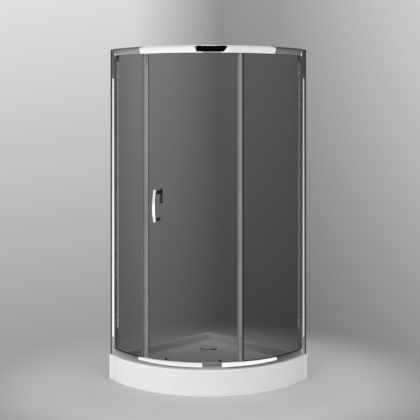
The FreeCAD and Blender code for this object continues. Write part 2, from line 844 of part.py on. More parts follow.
def make_post(name, side):
    def at(along, off):
        return wall_point(along, off, side)

    blank = upright_profile(f"post_blank_{name}", post_face(side) + [
        at("chamber_outer", "post_back"),
        at("chamber_outer", "chamber_end"),
        at("chamber_inner", "chamber_end"),
        at("chamber_inner", "post_back"),
        at("post_inner", "post_back"),
        at("post_inner", "post_front"),
        at(on_arc("web_out", "post_front"), "post_front"),
        at(on_arc("web_out", "slot_end"), "slot_end"),
        at(on_arc("pocket_out", "slot_end"), "slot_end"),
        at(on_arc("pocket_out", "post_front"), "post_front"),
    ], "tray_height", "post_top")
    tools = [screw_tool(f"post_hole_{rail}_{name}", rail, side) for rail in ("top", "bottom")]
    keep(drilled(f"post_{name}", blank, tools + side_holes(f"post_side_hole_{name}", side)))

    cap = new_body(f"post_cap_{name}")
    pad(cap, "XY_Plane", "cap_plate", level="post_top", loops=[post_face(side) + [
        at("post_outer - post_taper", "0"),
        at("post_inner", "0"),
        at("post_inner", "post_front")]])
    pad(cap, "XY_Plane", "cap_plug", level="post_top - cap_plug", loops=[[
        at("chamber_inner + channel_gap", "channel_depth + channel_gap"),
        at("chamber_outer - channel_gap", "channel_depth + channel_gap"),
        at("chamber_outer - channel_gap", "channel_depth + channel_gap + cap_plug_width"),
        at("chamber_inner + channel_gap", "channel_depth + channel_gap + cap_plug_width")]])
    keep(at_arc(cap))

    gasket = upright_profile(f"post_gasket_{name}", [
        at(on_arc("pocket_out - fit_gap", "post_front"), "post_front"),
        at(on_arc("pocket_out - fit_gap", "slot_end + fit_gap"), "slot_end + fit_gap"),
        at(on_arc("web_out + fit_gap", "slot_end + fit_gap"), "slot_end + fit_gap"),
        at(on_arc("web_out + fit_gap", "post_front"), "post_front"),
        at(on_arc("fixed_in - fit_gap", "post_front"), "post_front"),
        at(on_arc("fixed_in - fit_gap", "slot_end + gasket_lip"), "slot_end + gasket_lip"),
        at(on_arc("fixed_out + fit_gap", "slot_end + gasket_lip"), "slot_end + gasket_lip"),
        at(on_arc("fixed_out + fit_gap", "post_front"), "post_front"),
    ], "tray_height + rail_wall", "top_level - rail_wall")
    keep(gasket)


def side_holes(label, side):
    """The holes that pin a post to its wall channel, drilled from the inner face."""
    tools = []
    for step in POST_SCREW_ROW:
        tool = rod(f"{label}_{step}", "-screw_head_height", "post_screw_length", "screw_hole / 2")
        tools.append(at_wall(tool, "post_inner", "post_screw_from_wall",
                             f"middle_level + {step} * post_screw_pitch", side, ALONG_WALL))
    return tools


def make_channel(name, side):
    low = "chamber_inner + channel_gap"
    high = "chamber_outer - channel_gap"
    wall = "channel_wall"
    corners = [(low, "0"), (high, "0"), (high, "channel_depth"), (f"{high} - {wall}", "channel_depth"),
               (f"{high} - {wall}", wall), (f"{low} + {wall}", wall), (f"{low} + {wall}", "channel_depth"),
               (low, "channel_depth")]
    blank = upright_profile(f"wall_channel_blank_{name}", [wall_point(*corner, side) for corner in corners],
                            "tray_height", "post_top")
    tools = side_holes(f"channel_side_hole_{name}", side)
    for step in WALL_HOLE_ROW:
        tool = rod(f"wall_hole_{name}_{step}", f"-2 * {wall}", f"2 * {wall}", "wall_hole / 2")
        tools.append(at_wall(tool, "(chamber_inner + chamber_outer) / 2", "0",
                             f"middle_level + {step} * wall_hole_pitch", side, INTO_WALL))
    keep(drilled(f"wall_channel_{name}", blank, tools))


def screw(label, length):
    """A pan-head screw along X, with its head behind the origin."""
    shank = "screw_diameter / 2"
    head = "screw_head / 2"
    return turned(label, [
        ("-screw_head_height", "0"),
        (length, "0"),
        (length, shank),
        ("0", shank),
        ("0", head),
        ("-screw_head_height / 2", head),
        ("-screw_head_height", f"{head} / 2")])


def make_screws():
    """The screws that pin the posts to their channels, and those that hold the rails to the posts."""
    post_screws = []
    rail_screws = []
    for side in SIDES.values():
        for step in POST_SCREW_ROW:
            item = screw("post_screw", "post_screw_length")
            post_screws.append(at_wall(item, "post_inner", "post_screw_from_wall",
                                       f"middle_level + {step} * post_screw_pitch", side, ALONG_WALL))
        for rail in ("top", "bottom"):
            item = screw("rail_screw", "post_front - chamber_end + rail_screw_grip")
            rail_screws.append(at_wall(item, "screw_from_corner", "chamber_end", boss_level(rail), side,
                                       AWAY_FROM_WALL))
    keep(bunch("post_screws", post_screws))
    keep(bunch("rail_screws", rail_screws))


# Glass
def make_fixed_panes():
    corners = rectangle("fixed_in", "fixed_out", "tray_height + rail_wall + gasket_lip",
                        "top_level - rail_wall - gasket_lip")
    keep(arc_strip("fixed_glass_left", corners, "-pane_end", "fixed_left_edge"))
    keep(arc_strip("fixed_glass_right", corners, "fixed_right_edge", "pane_end"))


def make_door_pane():
    blank = arc_strip("door_blank", rectangle("door_in", "door_out", "door_bottom", "door_top"),
                      "door_left_edge", "door_right_edge")
    places = [(angle, level, radius) for angle in ROLLERS.values() for level, radius in (
        ("top_wheel_level", "axle_hole / 2"), ("carrier_screw_level", "carrier_screw_hole / 2"))]
    places += [("handle_angle", f"handle_height + {side} * handle_pitch / 2", "handle_hole / 2")
               for side in SIDES.values()]
    holes = []
    for angle, level, radius in places:
        hole = rod("door_hole", "-2 * glass_thickness", "glass_thickness", radius)
        holes.append(at_arc(hole, "door_out", angle, level))
    keep(drilled("door_glass", blank, holes))


# Seals at the upright edges, drawn with x as radius and y across the pane's edge
def clip_outline(pane_in, pane_out, side, reach):
    """A channel that grips a pane's edge, open to the side where the pane lies."""
    back = f"{-side} * (seal_fit + seal_web)"
    mouth = f"{-side} * seal_fit"
    tip = f"{side} * ({reach})"
    outer = f"({pane_out} + seal_fit)"
    inner = f"({pane_in} - seal_fit)"
    skin_out = f"({outer} + seal_lip)"
    skin_in = f"({inner} - seal_lip)"

    def on_circle(radius, across):
        return f"sqrt({radius}^2 - ({across})^2)", across

    return [
        on_circle(skin_out, tip) + (skin_out, -side),
        on_circle(skin_out, back),
        on_circle(skin_in, back) + (skin_in, side),
        on_circle(skin_in, tip),
        on_circle(inner, tip) + (inner, -side),
        on_circle(inner, mouth),
        on_circle(outer, mouth) + (outer, side),
        on_circle(outer, tip),
    ]


def edge_seal(label, angle, clip, arm, arm_start="0"):
    """A clip along a pane's upright edge, with an arm across the gap between the panes."""
    body = new_body(label)
    height = "seal_top - seal_bottom"
    pad(body, "XY_Plane", height, [clip])
    pad(body, "XY_Plane", f"{height} - ({arm_start})", [arm], level=arm_start)
    keep(at_arc(body, angle=angle, z="seal_bottom"))


def make_seals():
    back = "(seal_fit + seal_web)"
    fixed_face = "fixed_in - seal_fit - seal_lip / 2"
    door_face = "door_out + seal_fit + seal_lip / 2"
    edge_seal("strike_seal", "fixed_left_edge", clip_outline("fixed_in", "fixed_out", LEFT, "seal_reach"),
              rectangle("wheel_mid - magnet_overlap / 2", fixed_face, f"{back} - magnet_width", back))
    edge_seal("door_magnet_seal", "door_left_edge", clip_outline("door_in", "door_out", RIGHT, "seal_reach"),
              rectangle(door_face, "wheel_mid + magnet_overlap / 2", f"-{back}", f"magnet_width - {back}"))
    edge_seal("overlap_seal_fixed", "fixed_right_edge",
              clip_outline("fixed_in", "fixed_out", RIGHT, "overlap_reach"),
              rectangle("door_out + fin_gap", fixed_face, f"-{back}", f"fin_width - {back}"), "fin_start")
    edge_seal("overlap_seal_door", "door_right_edge", clip_outline("door_in", "door_out", LEFT, "seal_reach"),
              rectangle(door_face, "fixed_in - fin_gap", f"{back} - fin_width", back))
    blade_in = "(door_in + door_out) / 2 - drip_lip / 2"
    blade_out = "(door_in + door_out) / 2 + drip_lip / 2"
    sole = "door_bottom - seal_fit - drip_plate"
    keep(arc_strip("door_drip_seal", [
        ("door_in - drip_lip", sole),
        (blade_in, sole),
        (blade_in, "tray_height + rail_wall + drip_gap"),
        (blade_out, "tray_height + rail_wall + drip_gap"),
        (blade_out, sole),
        ("door_out", sole),
        ("door_out", "door_bottom - seal_fit"),
        ("door_in - seal_fit", "door_bottom - seal_fit"),
        ("door_in - seal_fit", "door_bottom + drip_reach"),
        ("door_in - drip_lip", "door_bottom + drip_reach"),
    ], "door_left_edge", "door_right_edge"))


# Rollers, drawn with x counted outwards from the door's outer face
def wheel(label, tread, axle):
    start = "carrier_depth + wheel_play"
    end = f"{start} + wheel_width"
    groove = "(wheel_width - groove_width) / 2"
    rim = f"{tread} + flange_height"
    bore = f"{axle} / 2 + bore_gap"
    return turned(label, [
        (start, bore),
        (end, bore),
        (end, rim),
        (f"{end} - {groove}", rim),
        (f"{end} - {groove}", tread),
        (f"{start} + {groove}", tread),
        (f"{start} + {groove}", rim),
        (start, rim)])


def make_top_rollers():
    journal_end = "carrier_depth + wheel_width + 2 * wheel_play"
    nut_end = "nut_seat + cap_nut_height"
    nut_bore_end = f"{nut_end} - cap_nut_crown"
    stud_end = f"{nut_bore_end} - fit_gap"
    axles = []
    nuts = []
    for name, angle in ROLLERS.items():
        axle = turned(f"top_axle_{name}", [
            (f"-({stud_end})", "0"),
            (f"{journal_end} + axle_head_height", "0"),
            (f"{journal_end} + axle_head_height", "axle_head / 2"),
            (journal_end, "axle_head / 2"),
            (journal_end, "top_axle / 2"),
            ("carrier_depth", "top_axle / 2"),
            ("carrier_depth", "axle_shoulder / 2"),
            ("0", "axle_shoulder / 2"),
            ("0", "axle_stud / 2"),
            (f"-({stud_end})", "axle_stud / 2")])
        axles.append(at_arc(axle, "door_out", angle, "top_wheel_level"))
        keep(at_arc(wheel(f"top_wheel_{name}", "top_tread", "top_axle"), "door_out", angle,
                    "top_wheel_level"))
        nut = turned(f"top_nut_{name}", [
            ("-nut_seat", "axle_stud / 2 + bore_gap"),
            (f"-({nut_bore_end})", "axle_stud / 2 + bore_gap"),
            (f"-({nut_bore_end})", "0"),
            (f"-({nut_end})", "0"),
            (f"-({nut_end})", "cap_nut / 3"),
            ("-nut_seat - cap_nut_height * 2 / 3", "cap_nut / 2"),
            ("-nut_seat", "cap_nut / 2")])
        nuts.append(at_arc(nut, "door_out", angle, "top_wheel_level"))
    keep(bunch("top_axles", axles))
    keep(bunch("top_cap_nuts", nuts))


def make_carrier(name, angle):
    half = "carrier_width / 2"
    slot = "slide_width / 2"
    carrier = new_body(f"bottom_carrier_{name}")
    pad(carrier, "XY_Plane", "carrier_floor", [rectangle("0", "carrier_depth", f"-{half}", half)])
    pad(carrier, "XY_Plane", "carrier_height - carrier_floor", level="carrier_floor", loops=[[
        ("0", f"-{half}"),
        ("carrier_depth", f"-{half}"),
        ("carrier_depth", f"-{slot}"),
        ("carrier_back", f"-{slot}"),
        ("carrier_back", slot),
        ("carrier_depth", slot),
        ("carrier_depth", half),
        ("0", half)]])
    pocket(carrier, "YZ_Plane", [], [("0", "carrier_height - carrier_screw_drop", "screw_hole / 2")],
           depth="carrier_back", level="0")
    keep(at_arc(carrier, "door_out", angle, "carrier_bottom"))

    slider = new_body(f"bottom_slider_{name}")
    width = "slide_width / 2 - slide_gap"
    pad(slider, "XY_Plane", "slider_top - slider_bottom", [rectangle(
        "carrier_back + slide_gap", "carrier_depth - slide_gap", f"-({width})", width)])
    pocket(slider, "YZ_Plane", [], [("0", "slider_below_axle", "bottom_axle / 2 + slider_pin_gap")])
    keep(at_arc(slider, "door_out", angle, "slider_bottom"))

    journal_end = "carrier_depth + wheel_width + 2 * wheel_play"
    axle = turned(f"bottom_axle_{name}", [
        ("carrier_back + 2 * slide_gap", "0"),
        (f"{journal_end} + axle_head_height", "0"),
        (f"{journal_end} + axle_head_height", "axle_head / 2"),
        (journal_end, "axle_head / 2"),
        (journal_end, "bottom_axle / 2"),
        ("carrier_back + 2 * slide_gap", "bottom_axle / 2")])
    keep(at_arc(axle, "door_out", angle, "bottom_wheel_level"))
    keep(at_arc(wheel(f"bottom_wheel_{name}", "bottom_tread", "bottom_axle"), "door_out", angle,
                "bottom_wheel_level"))
    make_spring(name, angle)

    item = turned(f"carrier_screw_{name}", [
        ("-carrier_screw_seat - screw_head_height", "0"),
        ("carrier_back - fit_gap", "0"),
        ("carrier_back - fit_gap", "screw_diameter / 2"),
        ("-carrier_screw_seat", "screw_diameter / 2"),
        ("-carrier_screw_seat", "carrier_screw_head / 2"),
        ("-carrier_screw_seat - screw_head_height / 2", "carrier_screw_head / 2"),
        ("-carrier_screw_seat - screw_head_height", "carrier_screw_head / 3")])
    return at_arc(item, "door_out", angle, "carrier_screw_level")


def make_spring(name, angle):
    """The coil spring under a release slider."""
    low = "carrier_bottom + carrier_floor"
    coil = "(spring_diameter - spring_wire) / 2"
    rise = f"(slider_bottom - ({low}) - spring_wire - 2 * fit_gap)"
    helix = doc.addObject("Part::Helix", f"spring_path_{name}")
    bind(helix, "Radius", coil)
    bind(helix, "Height", rise)
    bind(helix, "Pitch", f"{rise} / spring_turns")
    wire = doc.addObject("Part::Circle", f"spring_wire_{name}")
    bind(wire, "Radius", "spring_wire / 2")
    wire.Placement = FreeCAD.Placement(V(value(coil), 0, 0), FreeCAD.Rotation(V(1, 0, 0), 90))
    bind(wire, "Placement.Base.x", coil)
    doc.recompute()
    coil_body = doc.addObject("Part::Sweep", f"bottom_spring_{name}")
    coil_body.Sections = [wire]
    coil_body.Spine = (helix, [f"Edge{number + 1}" for number in range(len(helix.Shape.Edges))])
    coil_body.Solid = True
    coil_body.Frenet = True
    coil_body.Label = f"bottom_spring_{name}"
    middle = "door_out + (carrier_back + carrier_depth) / 2"
    keep(at_arc(coil_body, middle, angle, f"{low} + spring_wire / 2 + fit_gap"))


def make_stops():
    corners = rectangle("rib_out + fit_gap", "web_in - fit_gap", "top_rail_foot + rail_wall",
                        "top_rail_foot + rail_wall + stop_height")
    reach = "(top_tread + flange_height + stop_gap) / rib_out * 180 / pi"
    shut = f"roller_left - {reach}"
    wide = f"roller_right + door_travel + {reach}"
    keep(bunch("door_stops", [
        arc_strip("stop_shut", corners, f"{shut} - stop_angle", shut),
        arc_strip("stop_wide", corners, wide, f"{wide} + stop_angle")]))


# Handle
def bar_rims(diameter):
    """Picks the round edges at the ends of a bar."""
    return lambda edge: (isinstance(edge.Curve, Part.Circle)
                         and abs(edge.Curve.Radius - value(diameter) / 2) < SAME)


def handle_spacer(face, level, foot, standoff, half_turn):
    """The oval foot between the glass and a handle bar."""
    spacer = new_body("handle_spacer")
    wide = "spacer_width / 2"
    tall = "spacer_straight / 2"
    pad(spacer, "YZ_Plane", f"{standoff} - ({foot})", level=foot, loops=[[
        (wide, f"-{tall}"),
        (wide, tall, "spacer_round", 1),
        (f"-{wide}", tall),
        (f"-{wide}", f"-{tall}", "spacer_round", 1)]],
        circles=[("0", "0", "handle_bolt / 2 + handle_bolt_gap")])
    return at_arc(spacer, face, "handle_angle", level, half_turn)


def handle_ring(label, face, level, foot, height, diameter, half_turn):
    """A round plate on a handle bolt, such as a washer or a nut."""
    ring = new_body(label)
    pad(ring, "YZ_Plane", height, level=foot, loops=[], circles=[
        ("0", "0", f"{diameter} / 2"), ("0", "0", "handle_bolt / 2 + handle_bolt_gap")])
    return at_arc(ring, face, "handle_angle", level, half_turn)


def make_handle():
    bow = new_body("handle_bow_outer")
    sketch = new_sketch(bow, "XY_Plane")
    add_circle(sketch, "handle_radius", "0", "handle_bar / 2")
    feature = bow.newObject("PartDesign::Revolution", "Revolution")
    feature.Profile = sketch
    feature.ReferenceAxis = (sketch, ["V_Axis"])
    feature.Midplane = True
    bind(feature, "Angle", "handle_sweep")
    doc.recompute()
    rounded(bow, "handle_end_round", bar_rims("handle_bar"))
    outer = keep(at_arc(bow, "door_out + handle_reach - handle_radius", "handle_angle", "handle_height"))

    pull = new_body("handle_pull_inner")
    pad(pull, "XY_Plane", "pull_length", [], [("0", "0", "pull_bar / 2")], both_ways=True)
    doc.recompute()
    rounded(pull, "pull_end_round", bar_rims("pull_bar"))
    inner = keep(at_arc(pull, "door_in - pull_reach", "handle_angle", "pull_height"))

    foot = "washer_seat + washer_plate"
    upper = "handle_height + handle_pitch / 2"
    lower = "handle_height - handle_pitch / 2"
    spacers = [handle_spacer("door_in", upper, foot, "pull_reach", "180")]
    washers = []
    bolts = []
    for level in (upper, lower):
        spacers.append(handle_spacer("door_out", level, "washer_plate", "handle_standoff", "0"))
        for face, seat, half_turn in (("door_out", "0", "0"), ("door_in", "washer_seat", "180")):
            washers.append(handle_ring("handle_washer", face, level, seat, "washer_plate", "washer_diameter",
                                       half_turn))
        bolt = rod("handle_bolt_rod", "-glass_thickness - bolt_inner_reach", "handle_bolt_reach",
                   "handle_bolt / 2")
        bolts.append(at_arc(bolt, "door_out", "handle_angle", level))
    keep(drilled("handle_spacers", bunch("handle_spacer_blanks", spacers), [outer, inner]))
    keep(bunch("handle_washers", washers))
    keep(bunch("handle_bolts", bolts))
    keep(handle_ring("handle_nut", "door_in", lower, foot, "handle_nut_height", "handle_nut_diameter", "180"))


def build():
    make_tray()
    make_bar("support_bar_front", "front_bar_forward", "front_bar_length", "front_leg_spread")
    make_bar("support_bar_rear", "rear_bar_forward", "rear_bar_length", "rear_leg_spread")
    make_legs()
    make_waste()
    for rail in ("top", "bottom"):
        make_rail(rail)
        make_rail_glazing(rail)
    for name, side in SIDES.items():
        make_channel(name, side)
        make_post(name, side)
    make_screws()
    make_fixed_panes()
    make_door_pane()
    make_seals()
    make_top_rollers()
    keep(bunch("carrier_screws", [make_carrier(name, angle) for name, angle in ROLLERS.items()]))
    make_stops()
    make_handle()


def write():
    doc.recompute()
    for item in doc.Objects:
        assert not {"Invalid", "Error"} & set(item.State), f"{item.Label} failed: {item.State}"
    for item in nodes:
        assert not item.Shape.isNull() and item.Shape.isValid(), f"{item.Label} has a bad shape"
        assert item.Shape.Solids, f"{item.Label} has no solid"
    os.makedirs("parts", exist_ok=True)
    for item in nodes:
        item.Shape.exportStep(f"parts/{item.Label}.step")
        print(f"{item.Label}: {len(item.Shape.Solids)} solids, {item.Shape.Volume / 1000:.1f} cm3")


build()
write()
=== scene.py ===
import json
import logging
import math
from collections.abc import Mapping, Sequence
from dataclasses import dataclass, field
from enum import Enum

import bmesh
import bpy
from mathutils import Matrix, Vector


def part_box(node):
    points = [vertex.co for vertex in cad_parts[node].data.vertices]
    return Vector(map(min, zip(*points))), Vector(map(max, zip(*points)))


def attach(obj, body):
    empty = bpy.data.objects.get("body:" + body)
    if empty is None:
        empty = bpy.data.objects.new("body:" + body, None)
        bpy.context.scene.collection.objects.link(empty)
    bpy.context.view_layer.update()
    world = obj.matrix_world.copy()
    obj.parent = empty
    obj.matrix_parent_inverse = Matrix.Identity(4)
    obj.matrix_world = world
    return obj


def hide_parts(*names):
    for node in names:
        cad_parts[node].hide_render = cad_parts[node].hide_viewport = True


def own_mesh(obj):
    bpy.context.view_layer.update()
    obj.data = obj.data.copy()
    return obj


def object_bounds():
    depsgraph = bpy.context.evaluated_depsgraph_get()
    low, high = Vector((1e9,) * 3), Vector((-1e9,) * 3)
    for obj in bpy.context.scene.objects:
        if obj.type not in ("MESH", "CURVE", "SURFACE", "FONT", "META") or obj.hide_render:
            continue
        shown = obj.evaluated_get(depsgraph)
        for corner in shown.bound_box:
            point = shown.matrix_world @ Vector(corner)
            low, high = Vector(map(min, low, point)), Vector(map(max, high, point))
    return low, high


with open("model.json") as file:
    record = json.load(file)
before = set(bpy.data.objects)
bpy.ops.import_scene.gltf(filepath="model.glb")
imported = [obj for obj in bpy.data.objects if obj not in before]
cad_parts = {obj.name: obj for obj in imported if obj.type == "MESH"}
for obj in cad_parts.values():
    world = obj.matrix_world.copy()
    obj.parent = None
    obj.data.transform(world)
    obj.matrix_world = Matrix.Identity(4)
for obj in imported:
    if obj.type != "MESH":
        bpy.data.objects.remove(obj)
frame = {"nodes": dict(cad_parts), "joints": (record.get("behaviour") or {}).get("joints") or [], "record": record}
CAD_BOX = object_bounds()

# Looks of a corner shower enclosure with a curved front. Sizes are in millimetres, as in the part's source,
# and turn to metres where a mesh is made. Plan points are given in the front arc's own axes: u runs from the
# arc's centre to the front, v to the side that the door opens to. The stage is measured in metres, and its
# bearings in degrees from the front, positive towards v.

log = logging.getLogger("shower_enclosure")

MM = 0.001
ROOT_HALF = math.sqrt(0.5)
FRONT = Vector((ROOT_HALF, -ROOT_HALF, 0.0))
ASIDE = Vector((ROOT_HALF, ROOT_HALF, 0.0))
UP = Vector((0.0, 0.0, 1.0))

# Angles in degrees: between the front diagonal and a straight side, a quarter turn and a full one.
DIAGONAL = 45.0
QUARTER = 90.0
FULL = 360.0

# The display curve: its top tone, its straight foot, and the offset and power of the rest.
TOP_TONE = 255.0
FOOT_END = 0.04045
FOOT_SLOPE = 12.92
CURVE_OFFSET = 0.055
CURVE_POWER = 2.4

# The range that most values of a noise pattern fall in.
NOISE_LOW = 0.3
NOISE_HIGH = 0.7

# The largest share of a side that the rounding of a corner takes up.
ROUND_SHARE = 0.45

Point = tuple[float, float]
Place = tuple[float, float, float]
Colour = tuple[float, float, float]
Stops = Sequence[tuple[float, Colour]]
Socket = bpy.types.NodeSocket
Inputs = Mapping[str | int, object]
Row = Sequence[bmesh.types.BMVert]


class Side(Enum):
    """A side of the enclosure, as a sign of v."""

    LEFT = -1
    RIGHT = 1

    @property
    def word(self) -> str:
        """The side's name as the pieces have it."""
        return self.name.lower()


class Rail(Enum):
    """One of the two curved rails."""

    TOP = "top"
    BOTTOM = "bottom"


class Reach(Enum):
    """Which surfaces a lamp shows on, as whether matt ones and mirrors do."""

    ALL = (True, True)
    MATT = (True, False)
    MIRRORS = (False, True)


class Grain(Enum):
    """The fine structure of a surface, as a stretch of its texture along x, y and z."""

    MOTTLED = (1.0, 1.0, 1.0)
    UPRIGHT_LINES = (1.0, 1.0, 0.02)
    LEVEL_LINES = (0.05, 0.05, 1.0)


# Finishes


def linear(tone: float) -> float:
    """Turns a display tone into a light value.

    Args:
        tone: The tone, from 0 to 255.

    Returns:
        The light value, from 0 to 1.
    """
    share = tone / TOP_TONE
    if share <= FOOT_END:
        return share / FOOT_SLOPE
    return ((share + CURVE_OFFSET) / (1.0 + CURVE_OFFSET)) ** CURVE_POWER


def drifting(colour: Colour, drift: float) -> Stops:
    """Spreads a colour over the range of a noise pattern.

    Args:
        colour: The colour in the middle of the range.
        drift: The share by which it gets darker and lighter.

    Returns:
        The places of the darker and the lighter colour, and the colours.
    """
    low = tuple(channel * (1.0 - drift) for channel in colour)
    high = tuple(min(channel * (1.0 + drift), 1.0) for channel in colour)
    return [(NOISE_LOW, low), (NOISE_HIGH, high)]


class Wiring:
    """A node tree, with short calls that add nodes and join them up."""

    def __init__(self, tree: bpy.types.NodeTree) -> None:
        """Starts with an empty tree.

        Args:
            tree: The node tree, which is cleared.
        """
        self.nodes = tree.nodes
        self.links = tree.links
        self.nodes.clear()

    def feed(self, node: bpy.types.Node, inputs: Inputs) -> None:
        """Sets input sockets of a node.

        Args:
            node: The node.
            inputs: Sockets by name or number, each with a constant or the socket that feeds it.
        """
        for key, value in inputs.items():
            if isinstance(value, Socket):
                self.links.new(value, node.inputs[key])
            else:
                node.inputs[key].default_value = value

    def add(self, kind: str, inputs: Inputs, **settings: str) -> bpy.types.Node:
        """Adds a node.

        Args:
            kind: The node's kind, without the words that all kinds start with.
            inputs: Its sockets, as for feed.
            settings: Its named choices.

        Returns:
            The new node.
        """
        node = self.nodes.new(f"ShaderNode{kind}")
        for key, value in settings.items():
            setattr(node, key, value)
        self.feed(node, inputs)
        return node

    def ramp(self, value: Socket, stops: Stops) -> Socket:
        """Turns a value into a colour.

        Args:
            value: The value's socket.
            stops: Places from 0 to 1 and their colours.

        Returns:
            The colour's socket.
        """
        node = self.add("ValToRGB", {"Fac": value})
        elements = node.color_ramp.elements
        while len(elements) < len(stops):
            elements.new(1.0)
        for element, (where, colour) in zip(elements, stops):
            element.position = where
            element.color = (*colour, 1.0)
        return node.outputs["Color"]


class Bench(Wiring):
    """A material's node tree, with calls for what the finishes share."""

    def __init__(self, name: str) -> None:
        """Starts a material with one surface shader.

        Args:
            name: The material's name.
        """
        self.material = bpy.data.materials.new(name)
        self.material.use_nodes = True
        super().__init__(self.material.node_tree)
        self.shader = self.add("BsdfPrincipled", {})
        self.output = self.add("OutputMaterial", {"Surface": self.shader.outputs["BSDF"]})

    def noise(self, scale: float, detail: float, grain: Grain) -> Socket:
        """Adds a noise pattern that is fixed to the piece.

        Args:
            scale: Features per metre.
            detail: Octaves of finer noise.
            grain: The stretch of the pattern.

        Returns:
            The pattern's value socket.
        """
        place = self.add("TexCoord", {})
        stretch = self.add("Mapping", {"Vector": place.outputs["Object"], "Scale": grain.value})
        pattern = self.add("TexNoise", {"Vector": stretch.outputs["Vector"], "Scale": scale,
                                        "Detail": detail})
        return pattern.outputs[0]

    def span(self, value: Socket, low: float, high: float) -> Socket:
        """Spreads a noise value over a range.

        Args:
            value: The noise socket.
            low: Result at the pattern's low places.
            high: Result at its high places.

        Returns:
            The spread value's socket.
        """
        ends = {"From Min": NOISE_LOW, "From Max": NOISE_HIGH, "To Min": low, "To Max": high}
        return self.add("MapRange", {"Value": value, **ends}).outputs["Result"]

    def relief(self, height: Socket, depth: float, strength: float) -> None:
        """Lets a pattern raise the surface.

        Args:
            height: The pattern's socket.
            depth: Height of the relief in metres.
            strength: Share of the relief that shows.
        """
        bump = self.add("Bump", {"Height": height, "Distance": depth, "Strength": strength})
        self.feed(self.shader, {"Normal": bump.outputs["Normal"]})


@dataclass(frozen=True)
class Finish:
    """A surface finish: colour and gloss that drift a little, and a fine relief."""

    name: str
    colour: Colour
    drift: float = 0.06
    gloss: Point = (0.3, 0.45)
    grain: Grain = Grain.MOTTLED
    patch_scale: float = 9.0
    patch_detail: float = 4.0
    grain_scale: float = 900.0
    grain_detail: float = 3.0
    relief_depth: float = 0.0001
    relief_strength: float = 0.15
    metal: float = 0.0
    refraction: float = 1.5
    coat: float = 0.0
    coat_gloss: float = 0.06

    def material(self) -> bpy.types.Material:
        """Makes the finish's material.

        Returns:
            The new material.
        """
        bench = Bench(self.name)
        bench.feed(bench.shader, {"Metallic": self.metal, "IOR": self.refraction, "Coat Weight": self.coat,
                                  "Coat Roughness": self.coat_gloss})
        self.dress(bench)
        return bench.material

    def dress(self, bench: Bench) -> None:
        """Adds the finish's colour, gloss and relief to a material.

        Args:
            bench: The material's node tree.
        """
        patches = bench.noise(self.patch_scale, self.patch_detail, Grain.MOTTLED)
        fine = bench.noise(self.grain_scale, self.grain_detail, self.grain)
        bench.feed(bench.shader, {"Base Color": bench.ramp(patches, drifting(self.colour, self.drift)),
                                  "Roughness": bench.span(fine, *self.gloss)})
        bench.relief(fine, self.relief_depth, self.relief_strength)


@dataclass(frozen=True)
class Polish(Finish):
    """A mirror finish: the gloss drifts in broad patches, as wiped metal's does."""

    patch_detail: float = 5.0
    grain_detail: float = 2.0
    relief_depth: float = 0.00002
    metal: float = 1.0

    def dress(self, bench: Bench) -> None:
        """Adds a mirror surface with faint wipe marks.

        Args:
            bench: The material's node tree.
        """
        patches = bench.noise(self.patch_scale, self.patch_detail, Grain.MOTTLED)
        fine = bench.noise(self.grain_scale, self.grain_detail, Grain.MOTTLED)
        bench.feed(bench.shader, {"Base Color": bench.ramp(patches, drifting(self.colour, self.drift)),
                                  "Roughness": bench.span(patches, *self.gloss)})
        bench.relief(fine, self.relief_depth, self.relief_strength)


@dataclass(frozen=True)
class ClearBody(Finish):
    """A see-through body with a tint in its depth, such as glass or clear vinyl."""

    clarity: float = 1.0
    tint_colour: Colour = (0.0, 0.0, 0.0)
    tint_density: float = 0.0
    lamp_share: Colour = (0.96, 0.96, 0.96)

    def dress(self, bench: Bench) -> None:
        """Adds a clear surface that lets lamp light through, and the tint of its depth.

        Args:
            bench: The material's node tree.
        """
        super().dress(bench)
        bench.feed(bench.shader, {"Transmission Weight": self.clarity})
        rays = bench.add("LightPath", {})
        clear = bench.add("BsdfTransparent", {"Color": (*self.lamp_share, 1.0)})
        either = bench.add("MixShader", {0: rays.outputs["Is Shadow Ray"], 1: bench.shader.outputs["BSDF"],
                                         2: clear.outputs["BSDF"]})
        bench.feed(bench.output, {"Surface": either.outputs["Shader"]})
        if self.tint_density > 0.0:
            tint = {"Color": (*self.tint_colour, 1.0), "Density": self.tint_density}
            depth = bench.add("VolumeAbsorption", tint)
            bench.feed(bench.output, {"Volume": depth.outputs["Volume"]})


@dataclass(frozen=True)
class Vinyl(ClearBody):
    """The clear vinyl of a seal."""

    drift: float = 0.03
    gloss: Point = (0.3, 0.42)
    grain: Grain = Grain.UPRIGHT_LINES
    grain_scale: float = 500.0
    relief_strength: float = 0.1
    refraction: float = 1.35
    lamp_share: Colour = (0.6, 0.6, 0.6)


@dataclass(frozen=True)
class Matt:
    """A plain matt surface for the stage, in a grey that drifts a little."""

    name: str
    level: float
    drift: float
    patch_scale: float
    patch_detail: float
    roughness: float
    shine: float

    def bench(self) -> Bench:
        """Makes the surface's material.

        Returns:
            The material's node tree.
        """
        bench = Bench(self.name)
        patches = bench.noise(self.patch_scale, self.patch_detail, Grain.MOTTLED)
        grey = (self.level, self.level, self.level)
        bench.feed(bench.shader, {"Base Color": bench.ramp(patches, drifting(grey, self.drift)),
                                  "Roughness": self.roughness, "Specular IOR Level": self.shine})
        return bench


